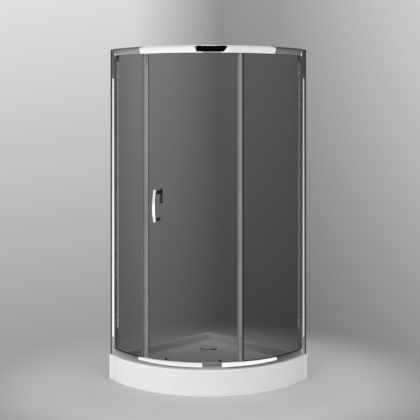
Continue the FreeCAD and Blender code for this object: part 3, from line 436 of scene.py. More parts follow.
FINISHES = {
    "tray_acrylic": Finish("white_acrylic", (0.87, 0.875, 0.875), 0.012, (0.16, 0.24), grain_scale=420.0,
                           relief_depth=0.00006, relief_strength=0.08, coat=0.35, refraction=1.49),
    "chrome": Polish("polished_chrome", (0.80, 0.805, 0.815), 0.015, (0.015, 0.05), patch_scale=14.0,
                     grain_scale=160.0, relief_strength=0.03),
    "cap_plastic": Finish("grey_cap_plastic", (0.46, 0.47, 0.48), gloss=(0.28, 0.42)),
    # The aluminium's dark grey is painted shade: it darkens the wall channel so that it stands for the shade in
    # the gap between the wall and the post.
    "aluminium": Finish("anodised_aluminium", (0.16, 0.16, 0.165), 0.05, (0.32, 0.46), Grain.UPRIGHT_LINES,
                        grain_scale=1400.0, relief_depth=0.00003, metal=1.0),
    "grey_glass": ClearBody("smoked_glass", (1.0, 1.0, 1.0), 0.0, (0.0, 0.006), patch_scale=5.0,
                            grain_scale=7.0, relief_depth=0.0002, relief_strength=0.012, refraction=1.2,
                            tint_colour=(0.0, 0.008, 0.012), tint_density=165.0),
    "seal_vinyl": Vinyl("clear_vinyl", (0.60, 0.61, 0.62), clarity=0.45),
    "dim_vinyl": Vinyl("dim_vinyl", (0.50, 0.51, 0.52), clarity=0.6),
    "faint_vinyl": Vinyl("faint_vinyl", (0.50, 0.51, 0.52), clarity=0.85),
    "rubber": Finish("black_rubber", (0.022, 0.022, 0.023), 0.2, (0.55, 0.75), grain_scale=1500.0,
                     relief_strength=0.3),
    "gasket_grey": Finish("grey_gasket_rubber", (0.45, 0.46, 0.46), 0.06, (0.5, 0.65), Grain.UPRIGHT_LINES,
                          grain_scale=1200.0, relief_strength=0.2),
    "infill_grey": Finish("grey_infill", (0.50, 0.51, 0.52), 0.05, (0.35, 0.5), Grain.LEVEL_LINES),
    "black_plastic": Finish("black_moulded_plastic", (0.018, 0.018, 0.019), 0.2, (0.32, 0.5),
                            grain_scale=1800.0, relief_strength=0.25),
    "wheel_nylon": Finish("white_nylon", (0.72, 0.72, 0.69), 0.06, (0.35, 0.5)),
    "steel": Finish("bright_steel", (0.60, 0.60, 0.61), 0.06, (0.18, 0.34), Grain.LEVEL_LINES,
                    grain_scale=1600.0, relief_depth=0.00004, metal=1.0),
    "zinc_steel": Finish("zinc_coated_steel", (0.52, 0.53, 0.55), 0.14, (0.3, 0.5), patch_scale=45.0,
                         grain_scale=600.0, metal=1.0),
    "chrome_cap": Polish("chromed_fittings", (0.78, 0.785, 0.795), 0.02, (0.03, 0.09), patch_scale=30.0,
                         grain_scale=300.0, relief_strength=0.04),
    "washer_nylon": Finish("grey_nylon", (0.62, 0.62, 0.62), 0.06, (0.35, 0.5)),
    "waste_plastic": Finish("white_moulded_plastic", (0.78, 0.78, 0.76), 0.04, (0.3, 0.45)),
}


class Paint:
    """Hands out one material for each finish."""

    made: dict[str, bpy.types.Material] = {}

    @classmethod
    def cover(cls, data: bpy.types.Mesh, slot: str) -> None:
        """Gives a mesh one finish all over.

        Args:
            data: The mesh.
            slot: The finish's place in the list of finishes.
        """
        if slot not in cls.made:
            cls.made[slot] = FINISHES[slot].material()
        data.materials.clear()
        data.materials.append(cls.made[slot])


# Outlines


def spread(start: float, end: float, steps: int) -> list[float]:
    """Evenly spaced values from start to end, both included."""
    return [start + (end - start) * step / steps for step in range(steps + 1)]


def quarter(steps: int) -> list[float]:
    """Evenly spaced angles of a quarter turn, in radians."""
    return spread(0.0, math.pi / 2, steps)


def arc_radius(chord: float, rise: float) -> float:
    """The radius of an arc that rises by so much over its chord."""
    return chord ** 2 / (8 * rise) + rise / 2


def arc(centre: Point, radius: float, start: float, end: float, steps: int) -> list[Point]:
    """Places points along an arc.

    Args:
        centre: The arc's centre.
        radius: The arc's radius.
        start: The first point's angle in degrees.
        end: The last point's angle in degrees.
        steps: Number of steps between the points.

    Returns:
        The points, with both ends.
    """
    turns = [math.radians(angle) for angle in spread(start, end, steps)]
    return [(centre[0] + radius * math.cos(t), centre[1] + radius * math.sin(t)) for t in turns]


def bow(start: Point, end: Point, radius: float, turn: int, steps: int) -> list[Point]:
    """Places points along the short arc between two points.

    Args:
        start: The arc's first point.
        end: The arc's last point, which is left out.
        radius: The arc's radius.
        turn: 1 for anticlockwise, -1 for clockwise.
        steps: Number of points.

    Returns:
        The points, with the first and without the last.
    """
    a, b = Vector(start), Vector(end)
    chord = b - a
    rise = math.sqrt(max(radius ** 2 - (chord.length / 2) ** 2, 0.0))
    middle = (a + b) / 2 + Vector((-chord.y, chord.x)).normalized() * (turn * rise)
    first = math.degrees(math.atan2(a.y - middle.y, a.x - middle.x))
    sweep = turn * 2 * math.degrees(math.asin(min(chord.length / 2 / radius, 1.0)))
    return arc(tuple(middle), radius, first, first + sweep, steps)[:-1]


def softened(corners: Sequence[tuple[float, float, float]], steps: int = 4) -> list[Point]:
    """Rounds the corners of an outline.

    Args:
        corners: Corners as x, y and rounding radius, where 0 keeps the point as it is.
        steps: Segments of each rounding.

    Returns:
        The outline's points.
    """
    points: list[Point] = []
    for index, (x, y, radius) in enumerate(corners):
        if radius <= 0.0:
            points.append((x, y))
            continue
        here = Vector((x, y))
        back = Vector(corners[index - 1][:2]) - here
        ahead = Vector(corners[(index + 1) % len(corners)][:2]) - here
        slope = math.tan(back.angle(ahead) / 2)
        reach = min(radius / slope, ROUND_SHARE * back.length, ROUND_SHARE * ahead.length)
        start = here + back.normalized() * reach
        end = here + ahead.normalized() * reach
        turn = 1 if back.x * ahead.y - back.y * ahead.x < 0 else -1
        points += bow(tuple(start), tuple(end), reach * slope, turn, steps)
        points.append(tuple(end))
    return points


def bearing(angle: float) -> Vector:
    """The level direction at an angle from the front, in degrees."""
    turn = math.radians(angle)
    return FRONT * math.cos(turn) + ASIDE * math.sin(turn)


@dataclass(frozen=True)
class Plan:
    """The enclosure's plan: where the front arc's centre is and how far the straight sides lie from it."""

    centre: Vector
    arc_offset: float

    @classmethod
    def from_frame(cls) -> "Plan":
        """Reads the arc's centre from the door's joint.

        Returns:
            The plan.
        """
        joint = next(item for item in frame["joints"] if item["name"] == "door_slide")
        x, y, _ = joint["pos_m"]
        corner = CAD_BOX[0][0]
        return cls(Vector((x, y, 0.0)), (x - corner) / MM)

    def world(self, u: float, v: float, z: float) -> Vector:
        """A plan point and a height as a place in the frame."""
        return self.centre + (FRONT * u + ASIDE * v + UP * z) * MM

    def round(self, radius: float, angle: float, z: float) -> Vector:
        """A place given by its radius, its angle from the diagonal in degrees, and its height."""
        return self.centre + (bearing(angle) * radius + UP * z) * MM

    def wall(self, along: float, off: float, side: Side) -> Point:
        """A plan point given by its distances along and off a straight side."""
        return (along + off - 2 * self.arc_offset) * ROOT_HALF, side.value * (along - off) * ROOT_HALF

    def end_angle(self, radius: float, off: float) -> float:
        """The angle at which a circle about the arc's centre comes within a distance of a side."""
        return DIAGONAL + math.degrees(math.asin((self.arc_offset - off) / radius))

    def along(self, radius: float, off: float) -> float:
        """The distance along a side at which a circle comes within a distance of it."""
        return self.arc_offset + math.sqrt(radius ** 2 - (self.arc_offset - off) ** 2)


# Meshes


def add_object(name: str, data: bpy.types.ID) -> bpy.types.Object:
    """Adds an object to the scene.

    Args:
        name: The object's name.
        data: Its mesh, lamp or camera.

    Returns:
        The new object.
    """
    item = bpy.data.objects.new(name, data)
    bpy.context.scene.collection.objects.link(item)
    return item


def as_mesh(name: str, shape: bmesh.types.BMesh) -> bpy.types.Mesh:
    """Turns a shape in the making into a mesh.

    Args:
        name: The mesh's name.
        shape: The shape, which is let go.

    Returns:
        The new mesh.
    """
    data = bpy.data.meshes.new(name)
    shape.to_mesh(data)
    shape.free()
    return data


def shade(item: bpy.types.Object, sharp_from: float) -> None:
    """Shades an object smoothly between its sharp edges.

    Args:
        item: The object.
        sharp_from: The angle in degrees from which an edge stays sharp.
    """
    for face in item.data.polygons:
        face.use_smooth = True
    item.data.set_sharp_from_angle(angle=math.radians(sharp_from))
    item.modifiers.new("even_shading", "WEIGHTED_NORMAL").keep_sharp = True


@dataclass
class Piece:
    """A mesh in the making, and its place in the object."""

    name: str
    body: str
    slot: str
    stands_for: tuple[str, ...]
    mesh: bmesh.types.BMesh = field(default_factory=bmesh.new)
    sharp_from: float = 32.0

    def ring(self, points: Sequence[Vector]) -> Row:
        """Adds a row of points."""
        return [self.mesh.verts.new(point) for point in points]

    def levels(self, plan: Plan, outlines: Sequence[tuple[Sequence[Point], float]]) -> list[Row]:
        """Adds plan outlines at their heights.

        Args:
            plan: The enclosure's plan.
            outlines: The outlines' plan points, each with a height.

        Returns:
            A row of points for each outline.
        """
        return [self.ring([plan.world(u, v, z) for u, v in points]) for points, z in outlines]

    def skin(self, first: Row, second: Row, closed: bool = True) -> None:
        """Joins two rows of equal length with faces.

        Args:
            first: One row.
            second: The other row.
            closed: Whether the rows run round.
        """
        count = len(first)
        for index in range(count if closed else count - 1):
            after = (index + 1) % count
            self.mesh.faces.new((first[index], first[after], second[after], second[index]))

    def loft(self, rows: Sequence[Row]) -> None:
        """Joins closed rows one after the other."""
        for first, second in zip(rows, rows[1:]):
            self.skin(first, second)

    def tube(self, rows: Sequence[Row]) -> None:
        """Joins closed rows one after the other, and closes both ends.

        Args:
            rows: The rows, of which the first and the last are flat.
        """
        self.loft(rows)
        self.mesh.faces.new(rows[0])
        self.mesh.faces.new(rows[-1])

    def fill(self, *rows: Row) -> None:
        """Fills the flat area between an outer row and the rows of its holes.

        Args:
            rows: The outer row, then the holes.
        """
        edges = []
        for row in rows:
            for index, vert in enumerate(row):
                pair = (vert, row[(index + 1) % len(row)])
                edges.append(self.mesh.edges.get(pair) or self.mesh.edges.new(pair))
        bmesh.ops.triangle_fill(self.mesh, use_beauty=True, use_dissolve=False, edges=edges)

    def finish(self) -> bpy.types.Object:
        """Turns the mesh into an object of the scene, and dresses it.

        Returns:
            The new object.
        """
        bmesh.ops.recalc_face_normals(self.mesh, faces=self.mesh.faces)
        item = add_object(self.name, as_mesh(self.name, self.mesh))
        self.dress(item)
        return item

    def dress(self, item: bpy.types.Object) -> None:
        """Gives an object its finish, sets it on its body and lets it stand for its nodes.

        Args:
            item: The object.
        """
        shade(item, self.sharp_from)
        Paint.cover(item.data, self.slot)
        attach(item, self.body)
        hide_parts(*self.stands_for)
        log.info("%s: %d faces on body %s", self.name, len(item.data.polygons), self.body)


# Sub-assemblies


@dataclass
class Tray:
    """The moulded tray with its basin, and the curved front under its deck."""

    plan: Plan
    radius: float = 674.88
    return_length: float = 33.0
    height: float = 150.0
    wall: float = 6.0
    basin_floor: float = 105.0
    rim_front: float = 68.0
    rim_wall: float = 40.0
    basin_corner: float = 60.0
    basin_round: float = 15.0
    edge_round: float = 4.0
    rib_depth: float = 10.0
    rib_gap: float = 0.1
    joint_round: float = 0.5
    waste_hole: float = 45.0
    waste_from_wall: float = 206.0
    least_step: float = 0.01
    arc_steps: int = 128
    corner_steps: int = 14
    round_steps: int = 7
    hole_steps: int = 72

    def outline(self, inset: float) -> list[Point]:
        """Draws the footprint, taken in at the front only.

        Args:
            inset: Distance from the front edge.

        Returns:
            Plan points, from the rear corner round by the left side.
        """
        radius = self.radius - inset
        edge = self.plan.along(self.radius, self.return_length) - inset
        reach = DIAGONAL + math.degrees(math.acos((edge - self.plan.arc_offset) / radius))
        front = arc((0.0, 0.0), radius, -reach, reach, self.arc_steps)
        return [self.plan.wall(0.0, 0.0, Side.RIGHT), self.plan.wall(edge, 0.0, Side.LEFT), *front,
                self.plan.wall(edge, 0.0, Side.RIGHT)]

    def basin(self, grow: float) -> list[Point]:
        """Draws the basin's outline.

        Args:
            grow: Distance outwards from the basin's wall.

        Returns:
            Plan points, anticlockwise from the left end of the front.
        """
        front = self.radius - self.rim_front + grow
        corner = self.basin_corner + grow
        off = self.rim_wall - grow + corner
        side = self.plan.wall(self.plan.along(front - corner, off), off, Side.RIGHT)
        back = self.plan.wall(off, off, Side.RIGHT)
        touch = math.degrees(math.atan2(side[1], side[0]))
        right_wall = DIAGONAL + QUARTER
        left_wall = right_wall + QUARTER
        points = arc((0.0, 0.0), front, -touch, touch, self.arc_steps)
        points += arc(side, corner, touch, right_wall, self.corner_steps)
        points += arc(back, corner, right_wall, left_wall, self.corner_steps)
        points += arc((side[0], -side[1]), corner, left_wall, FULL - touch, self.corner_steps)
        return self.thinned(points)

    def thinned(self, points: Sequence[Point]) -> list[Point]:
        """Leaves out points that fall on the one before.

        Args:
            points: Points that run round.

        Returns:
            The points that are left.
        """
        kept: list[Point] = []
        for point in points:
            if not kept or math.dist(point, kept[-1]) > self.least_step:
                kept.append(point)
        return kept if math.dist(kept[0], kept[-1]) > self.least_step else kept[:-1]

    def strip(self, outer: float, inner: float) -> list[Point]:
        """A strip along the front and its returns, between two insets."""
        return self.outline(outer)[1:] + self.outline(inner)[:0:-1]

    def build(self) -> None:
        """Builds the tray and its front."""
        self.build_shell()
        self.build_apron()

    def build_shell(self) -> None:
        """Builds the deck, the basin and the rib that holds the front."""
        piece = Piece("tray_top", "base", "tray_acrylic", ("tray_shell",))
        turns = quarter(self.round_steps)
        small, large = self.edge_round, self.basin_round
        under, floor = self.height - self.wall, self.basin_floor
        below = floor - self.wall
        edge_levels = [(self.outline(self.joint_round), under), (self.outline(0.0), under + self.joint_round)]
        edge_levels += [(self.outline(small * (1 - math.cos(t))), self.height - small * (1 - math.sin(t)))
                        for t in turns]
        edge = piece.levels(self.plan, edge_levels)
        piece.loft(edge)
        bowl_levels = [(self.basin(small * (1 - math.sin(t))), self.height - small * (1 - math.cos(t)))
                       for t in turns]
        bowl_levels += [(self.basin(-large * (1 - math.cos(t))), floor + large * (1 - math.sin(t)))
                        for t in turns]
        bowl = piece.levels(self.plan, bowl_levels)
        piece.loft(bowl)
        piece.fill(edge[-1], bowl[0])
        waste = self.plan.wall(self.waste_from_wall, self.waste_from_wall, Side.RIGHT)
        circle = arc(waste, self.waste_hole, 0.0, FULL, self.hole_steps)[:-1]
        hole = piece.levels(self.plan, [(circle, floor), (circle, below)])
        piece.loft(hole)
        piece.fill(bowl[-1], hole[0])
        outline = self.basin(self.wall)
        outside = piece.levels(self.plan, [(outline, below), (outline, under)])
        piece.loft(outside)
        piece.fill(outside[0], hole[1])
        piece.fill(edge[0], outside[1])
        rib = self.strip(self.wall + self.rib_gap, 2 * self.wall)
        piece.tube(piece.levels(self.plan, [(rib, under - self.rib_depth), (rib, under + self.joint_round)]))
        piece.finish()

    def build_apron(self) -> None:
        """Builds the curved front that stands under the deck."""
        piece = Piece("tray_front", "base", "tray_acrylic", ("tray_apron",))
        soft = self.joint_round
        top = self.height - self.wall
        insets = [(soft, 0.0), (0.0, soft), (0.0, top - soft), (soft, top)]
        piece.tube(piece.levels(self.plan, [(self.strip(inset, self.wall), z) for inset, z in insets]))
        piece.finish()


@dataclass
class Rails:
    """The two curved rails between the posts."""

    plan: Plan
    outer: float = 671.0
    height: float = 42.0
    wall: float = 2.0
    slope: float = 5.0
    bulge: float = 0.6
    heel_height: float = 8.0
    heel_inset: float = 1.5
    heel_round: float = 22.0
    pocket_out: float = 664.0
    web_out: float = 653.0
    web_in: float = 651.0
    rib_out: float = 645.25
    rib_in: float = 642.75
    rib_rise: float = 10.0
    boss_in: float = 636.0
    boss_height: float = 7.0
    inner: float = 614.0
    dam_height: float = 8.0
    post_front: float = 54.0
    low_level: float = 192.0
    high_level: float = 2008.0
    arris: float = 0.45
    face_steps: int = 12
    heel_steps: int = 5
    steps: int = 220

    def section(self) -> list[Point]:
        """Draws the rail's section, as radius and height from the doorway edge.

        Returns:
            The outline's points.
        """
        face = self.height - self.heel_height
        tip = (self.outer - self.slope, 0.0)
        knee = (self.outer, face)
        heel = (self.outer - self.heel_inset, self.height)
        front = bow(tip, knee, arc_radius(math.hypot(self.slope, face), self.bulge), 1, self.face_steps)
        front += bow(knee, heel, self.heel_round, 1, self.heel_steps)
        plate = self.height - self.wall
        soft = self.arris
        corners = [(*front[0], soft)]
        corners += [(*point, 0.0) for point in front[1:]]
        corners += [
            (*heel, soft),
            (self.inner, self.height, soft),
            (self.inner, plate - self.dam_height, soft),
            (self.inner + self.wall, plate - self.dam_height, soft),
            (self.inner + self.wall, plate, soft),
            (self.boss_in, plate, 0.0),
            (self.boss_in, plate - self.boss_height, soft),
            (self.web_in, plate - self.boss_height, soft),
            (self.web_in, self.wall, soft),
            (self.rib_out, self.wall, soft),
            (self.rib_out, self.rib_rise, soft),
            (self.rib_in, self.rib_rise, soft),
            (self.rib_in, 0.0, soft),
            (self.web_out, 0.0, soft),
            (self.web_out, plate, 0.0),
            (self.pocket_out, plate, 0.0),
            (self.pocket_out, 0.0, soft),
        ]
        return softened(corners)

    def build(self) -> None:
        """Builds both rails."""
        for rail in Rail:
            piece = Piece(f"{rail.value}_rail_chrome", "base", "chrome", (f"{rail.value}_rail",))
            upward = rail is Rail.TOP
            section = [(radius, self.high_level + h if upward else self.low_level - h, self.reach(radius))
                       for radius, h in self.section()]
            rows = [[self.plan.round(radius, reach * share, z) for radius, z, reach in section]
                    for share in spread(-1.0, 1.0, self.steps)]
            piece.tube([piece.ring(row) for row in rows])
            piece.finish()

    def reach(self, radius: float) -> float:
        """The angle at which a rail meets its posts, at a radius."""
        return self.plan.end_angle(radius, self.post_front)


@dataclass
class Posts:
    """The upright posts at the ends of the rails."""

    plan: Plan
    rail_outer: float = 671.0
    width: float = 36.0
    wall: float = 1.8
    front: float = 54.0
    back: float = 16.0
    taper: float = 9.0
    face_radius: float = 150.0
    chamber_end: float = 36.0
    slot_end: float = 41.0
    web_out: float = 653.0
    pocket_out: float = 664.0
    low: float = 150.0
    high: float = 2048.5
    arris: float = 0.7
    lip_round: float = 0.3
    face_steps: int = 10

    def outline(self) -> list[Point]:
        """Draws the post's section, as distances along and off its straight side.

        Returns:
            The outline's points.
        """
        at = self.plan.along
        outer = at(self.rail_outer, self.front)
        inner = outer - self.width
        heel = (outer - self.taper, self.back)
        soft, lip = self.arris, self.lip_round
        face = bow((outer, self.front), heel, self.face_radius, -1, self.face_steps)
        chamber_out, chamber_in = outer - self.taper - self.wall, inner + self.wall
        corners = [(*point, 0.0) for point in face]
        corners += [
            (*heel, soft),
            (chamber_out, self.back, 0.0),
            (chamber_out, self.chamber_end, 0.0),
            (chamber_in, self.chamber_end, 0.0),
            (chamber_in, self.back, 0.0),
            (inner, self.back, soft),
            (inner, self.front, soft),
            (at(self.web_out, self.front), self.front, lip),
            (at(self.web_out, self.slot_end), self.slot_end, 0.0),
            (at(self.pocket_out, self.slot_end), self.slot_end, 0.0),
            (at(self.pocket_out, self.front), self.front, lip),
        ]
        return softened(corners)

    def build(self) -> None:
        """Builds both posts."""
        for side in Side:
            piece = Piece(f"post_{side.word}_chrome", "base", "chrome", (f"post_{side.word}",))
            points = [self.plan.wall(along, off, side) for along, off in self.outline()]
            piece.tube(piece.levels(self.plan, [(points, self.low), (points, self.high)]))
            piece.finish()


@dataclass
class Pane:
    """A bent pane of glass with ground edges."""

    plan: Plan
    node: str
    body: str
    inner: float
    outer: float
    start: float
    end: float
    low: float
    high: float
    arris: float = 0.8
    step: float = 0.5
    sharp_from: float = 24.0

    @property
    def steps(self) -> int:
        """Number of steps along each face."""
        return int((self.end - self.start) / self.step)

    def row(self, piece: Piece, inset: float, z: float) -> Row:
        """Adds the pane's plan outline at a height.

        Args:
            piece: The pane's piece.
            inset: Distance that the outline is drawn in.
            z: The height.

        Returns:
            The outline's points, round by the outer face.
        """
        inner, outer, soft = self.inner + inset, self.outer - inset, self.arris
        turn = math.degrees(1.0 / self.outer)
        first, last = self.start + inset * turn, self.end - inset * turn
        angles = spread(first + soft * turn, last - soft * turn, self.steps)
        points = [(outer, angle) for angle in angles]
        points += [(outer - soft, last), (inner + soft, last)]
        points += [(inner, angle) for angle in reversed(angles)]
        points += [(inner + soft, first), (outer - soft, first)]
        return piece.ring([self.plan.round(radius, angle, z) for radius, angle in points])

    def build(self) -> bpy.types.Object:
        """Builds the pane.

        Returns:
            The pane's object.
        """
        piece = Piece(f"{self.node}_pane", self.body, "grey_glass", (self.node,), sharp_from=self.sharp_from)
        soft = self.arris
        levels = [(soft, self.low), (0.0, self.low + soft), (0.0, self.high - soft), (soft, self.high)]
        rows = [self.row(piece, inset, z) for inset, z in levels]
        piece.loft(rows)
        count = self.steps + 1
        for row in (rows[0], rows[-1]):
            far, near = row[:count], row[count + 2:-2][::-1]
            piece.skin(far, near, closed=False)
            piece.mesh.faces.new((far[-1], row[count], row[count + 1], near[-1]))
            piece.mesh.faces.new((near[0], row[-2], row[-1], far[0]))
        return piece.finish()


@dataclass
class Glazing:
    """The two fixed panes and the door's pane."""

    plan: Plan
    fixed_in: float = 655.5
    fixed_out: float = 661.5
    fixed_low: float = 154.5
    fixed_high: float = 2045.5
    fixed_left: float = -36.2
    fixed_right: float = 16.0
    pane_off: float = 43.6
    door_in: float = 626.0
    door_out: float = 632.0
    door_low: float = 160.0
    door_high: float = 2038.8
    door_left: float = -35.7640
    door_right: float = 18.5
    rollers: Point = (-23.1, 6.3)
    roller_hole: Point = (2027.8, 5.0)
    carrier_hole: Point = (191.0, 3.2)
    handle_angle: float = -28.0
    handle_holes: Point = (1022.0, 1182.0)
    handle_hole_radius: float = 6.0
    drill_length: float = 30.0
    hole_segments: int = 48

    def build(self) -> None:
        """Builds the panes and drills the door."""
        reach = self.plan.end_angle(self.fixed_out, self.pane_off)
        spans = {Side.LEFT: (-reach, self.fixed_left), Side.RIGHT: (self.fixed_right, reach)}
        for side, (start, end) in spans.items():
            Pane(self.plan, f"fixed_glass_{side.word}", "base", self.fixed_in, self.fixed_out, start, end,
                 self.fixed_low, self.fixed_high).build()
        door = Pane(self.plan, "door_glass", "door", self.door_in, self.door_out, self.door_left,
                    self.door_right, self.door_low, self.door_high)
        self.drill(door.build(), door.sharp_from)

    def cutter(self) -> bpy.types.Object:
        """Makes a rod for each of the door's holes.

        Returns:
            The rods, as one object.
        """
        places = [(angle, *hole) for angle in self.rollers for hole in (self.roller_hole, self.carrier_hole)]
        places += [(self.handle_angle, z, self.handle_hole_radius) for z in self.handle_holes]
        rods = bmesh.new()
        for angle, z, radius in places:
            middle = self.plan.round((self.door_in + self.door_out) / 2, angle, z)
            turn = bearing(angle).to_track_quat("Z", "Y").to_matrix().to_4x4()
            bmesh.ops.create_cone(rods, cap_ends=True, segments=self.hole_segments, radius1=radius * MM,
                                  radius2=radius * MM, depth=self.drill_length * MM,
                                  matrix=Matrix.Translation(middle) @ turn)
        return add_object("door_drill", as_mesh("door_drill", rods))

    def drill(self, door: bpy.types.Object, sharp_from: float) -> None:
        """Takes the door's holes out of its mesh.

        Args:
            door: The door's pane.
            sharp_from: The angle in degrees from which its edges stay sharp.
        """
        cutter = self.cutter()
        door.modifiers.clear()
        cut = door.modifiers.new("holes", "BOOLEAN")
        cut.solver = "EXACT"
        cut.object = cutter
        graph = bpy.context.evaluated_depsgraph_get()
        drilled = bpy.data.meshes.new_from_object(door.evaluated_get(graph))
        drilled.name = "door_glass_drilled"
        door.modifiers.clear()
        blank = door.data
        door.data = drilled
        bpy.data.meshes.remove(blank)
        bpy.data.objects.remove(cutter)
        shade(door, sharp_from)
        Paint.cover(drilled, "grey_glass")


@dataclass
class Handle:
    """The door's handle: a bow outside and a short pull inside."""

    plan: Plan
    angle: float = -28.0
    level: float = 1102.0
    length: float = 195.0
    bar: float = 11.0
    bulge: float = 14.0
    reach: float = 56.0
    end_round: float = 9.0
    pull_level: float = 1158.0
    pull_length: float = 95.0
    pull_bar: float = 10.0
    pull_reach: float = 26.0
    pull_round: float = 8.0
    door_in: float = 626.0
    door_out: float = 632.0
    steps: int = 72
    round_steps: int = 8
    segments: int = 40

    def build(self) -> None:
        """Builds the bow and the pull."""
        radius = arc_radius(self.length, self.bulge)
        half = math.asin(self.length / 2 / radius)
        centre = self.door_out + self.reach - radius
        bow_rows = []
        for place, size in self.stations(radius * half, self.bar, self.end_round):
            lean = place / radius
            out, z = centre + radius * math.cos(lean), self.level + radius * math.sin(lean)
            bow_rows.append((out, z, lean, size))
        self.build_bar("handle_bow_outer", bow_rows)
        out = self.door_in - self.pull_reach
        stations = self.stations(self.pull_length / 2, self.pull_bar, self.pull_round)
        self.build_bar("handle_pull_inner", [(out, self.pull_level + place, 0.0, size)
                                             for place, size in stations])

    def stations(self, half: float, bar: float, end_round: float) -> list[Point]:
        """Places sections along a round bar with softened ends.

        Args:
            half: Half of the bar's length.
            bar: The bar's radius.
            end_round: The rounding of its ends.

        Returns:
            Distances from the bar's middle and the radius at each.
        """
        end = [(half - end_round * (1 - math.cos(t)), bar - end_round * (1 - math.sin(t)))
               for t in quarter(self.round_steps)]
        straight = half - end_round
        middle = [(place, bar) for place in spread(straight, -straight, self.steps)[1:-1]]
        return end + middle + [(-place, size) for place, size in reversed(end)]

    def build_bar(self, node: str, rows: Sequence[tuple[float, float, float, float]]) -> None:
        """Builds one bar.

        Args:
            node: The node that the bar stands for.
            rows: The bar's sections: distance from the arc's centre, height, lean and radius.
        """
        piece = Piece(f"{node}_chrome", "door", "chrome", (node,))
        aside = bearing(self.angle + QUARTER) * MM
        turns = spread(0.0, 2 * math.pi, self.segments)[:-1]
        rings = []
        for out, z, lean, size in rows:
            ring = []
            for turn in turns:
                outward = size * math.cos(turn)
                radius, rise = out + outward * math.cos(lean), z + outward * math.sin(lean)
                spot = self.plan.round(radius, self.angle, rise)
                ring.append(spot + aside * (size * math.sin(turn)))
            rings.append(piece.ring(ring))
        piece.tube(rings)
        piece.finish()


@dataclass
class Springs:
    """The coil springs under the release sliders."""

    wire: float = 0.3
    turns: int = 4
    shortened: float = 0.48
    steps: int = 96
    segments: int = 10

    def build(self) -> None:
        """Builds both springs."""
        for side in Side:
            node = f"bottom_spring_{side.word}"
            low, high = (Vector(corner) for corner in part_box(node))
            coil = self.build_coil(node, low, high)
            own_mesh(coil)

    def build_coil(self, node: str, low: Vector, high: Vector) -> bpy.types.Object:
        """Winds a wire inside a box.

        Args:
            node: The node that the coil stands for.
            low: The box's lowest corner.
            high: The box's highest corner.

        Returns:
            The coil's object.
        """
        piece = Piece(f"{node}_coil", "door", "steel", (node,))
        wire = self.wire * MM
        radius = (high.x - low.x) / 2 - wire
        middle = Vector(((low.x + high.x) / 2, (low.y + high.y) / 2, low.z + wire))
        rise = high.z - low.z - 2 * wire
        whole = 2 * math.pi * self.turns
        around = spread(0.0, 2 * math.pi, self.segments)[:-1]
        rows = []
        for share in spread(0.0, 1.0, self.steps):
            outward = Vector((math.cos(whole * share), math.sin(whole * share), 0.0))
            along = (UP.cross(outward) * radius + UP * (rise / whole)).normalized()
            across = along.cross(outward)
            spot = middle + outward * radius + UP * (rise * share)
            rows.append(piece.ring([spot + (outward * math.cos(t) + across * math.sin(t)) * wire
                                    for t in around]))
        piece.tube(rows)
        return piece.finish()


@dataclass
class Hardware:
    """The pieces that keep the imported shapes: seals, gaskets, rollers, screws, supports and the waste."""

    own_finish: tuple[tuple[str, str], ...] = (
        ("overlap_seal_fixed", "dim_vinyl"),
        ("overlap_seal_door", "dim_vinyl"),
        ("strike_seal", "faint_vinyl"),
    )

    def build(self) -> None:
        """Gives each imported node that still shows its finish."""
        own = dict(self.own_finish)
        for row in frame["record"]["subparts"]:
            node = frame["nodes"][row["node"]]
            if node.hide_render:
                continue
            finish = own.get(row["node"], row["material_slot"])
            Paint.cover(node.data, finish)
            log.info("%s: finish %s", row["node"], FINISHES[finish].name)


# Studio


PANES = ("fixed_glass_left_pane", "fixed_glass_right_pane", "door_glass_pane")
LEFT_POST = ("post_left_chrome",)
RIGHT_POST = ("post_right_chrome",)
BOW = ("handle_bow_outer_chrome",)
TRAY = ("tray_front", "tray_top")


def add_lamp(name: str, size: Point, radiance: float, stand: Matrix) -> bpy.types.Object:
    """Adds a flat lamp that is not seen itself.

    Args:
        name: The lamp's name.
        size: Its width and height.
        radiance: Its brightness.
        stand: Where it stands and which way it faces.

    Returns:
        The lamp's object.
    """
    lamp = bpy.data.lights.new(name, "AREA")
    lamp.shape = "RECTANGLE"
    lamp.size, lamp.size_y = size
    lamp.energy = radiance * math.pi * size[0] * size[1]
    item = add_object(name, lamp)
    item.matrix_world = stand
    item.visible_camera = False
    item.visible_transmission = False
    return item


@dataclass
class Softbox:
    """A tall lamp panel, given by the bearings of its upright edges from the object."""

    name: str
    inner_bearing: float
    outer_bearing: float
    distance: float
    low: float
    high: float
    radiance: float
    reach: Reach = Reach.ALL
    only_on: tuple[str, ...] = ()
    not_on: tuple[str, ...] = ()

    def build(self) -> None:
        """Adds the lamp, facing the object."""
        start, end = bearing(self.inner_bearing) * self.distance, bearing(self.outer_bearing) * self.distance
        middle = (start + end) / 2
        across = (end - start).normalized()
        if across.cross(UP).dot(middle) < 0:
            across = -across
        turn = Matrix((across, UP, across.cross(UP))).transposed().to_4x4()
        stand = Matrix.Translation(middle + UP * ((self.low + self.high) / 2)) @ turn
        item = add_lamp(self.name, ((end - start).length, self.high - self.low), self.radiance, stand)
        item.visible_diffuse, item.visible_glossy = self.reach.value
        if self.only_on or self.not_on:
            self.link_pieces(item)

    def link_pieces(self, item: bpy.types.Object) -> None:
        """Lets the lamp light only its own pieces, or all but those that it leaves out.

        Args:
            item: The lamp's object.
        """
        lit = bpy.data.collections.new(f"{self.name}_pieces")
        for name in self.only_on + self.not_on:
            lit.objects.link(bpy.data.objects[name])
        item.light_linking.receiver_collection = lit
        for entry in lit.collection_objects:
            entry.light_linking.link_state = "INCLUDE" if self.only_on else "EXCLUDE"


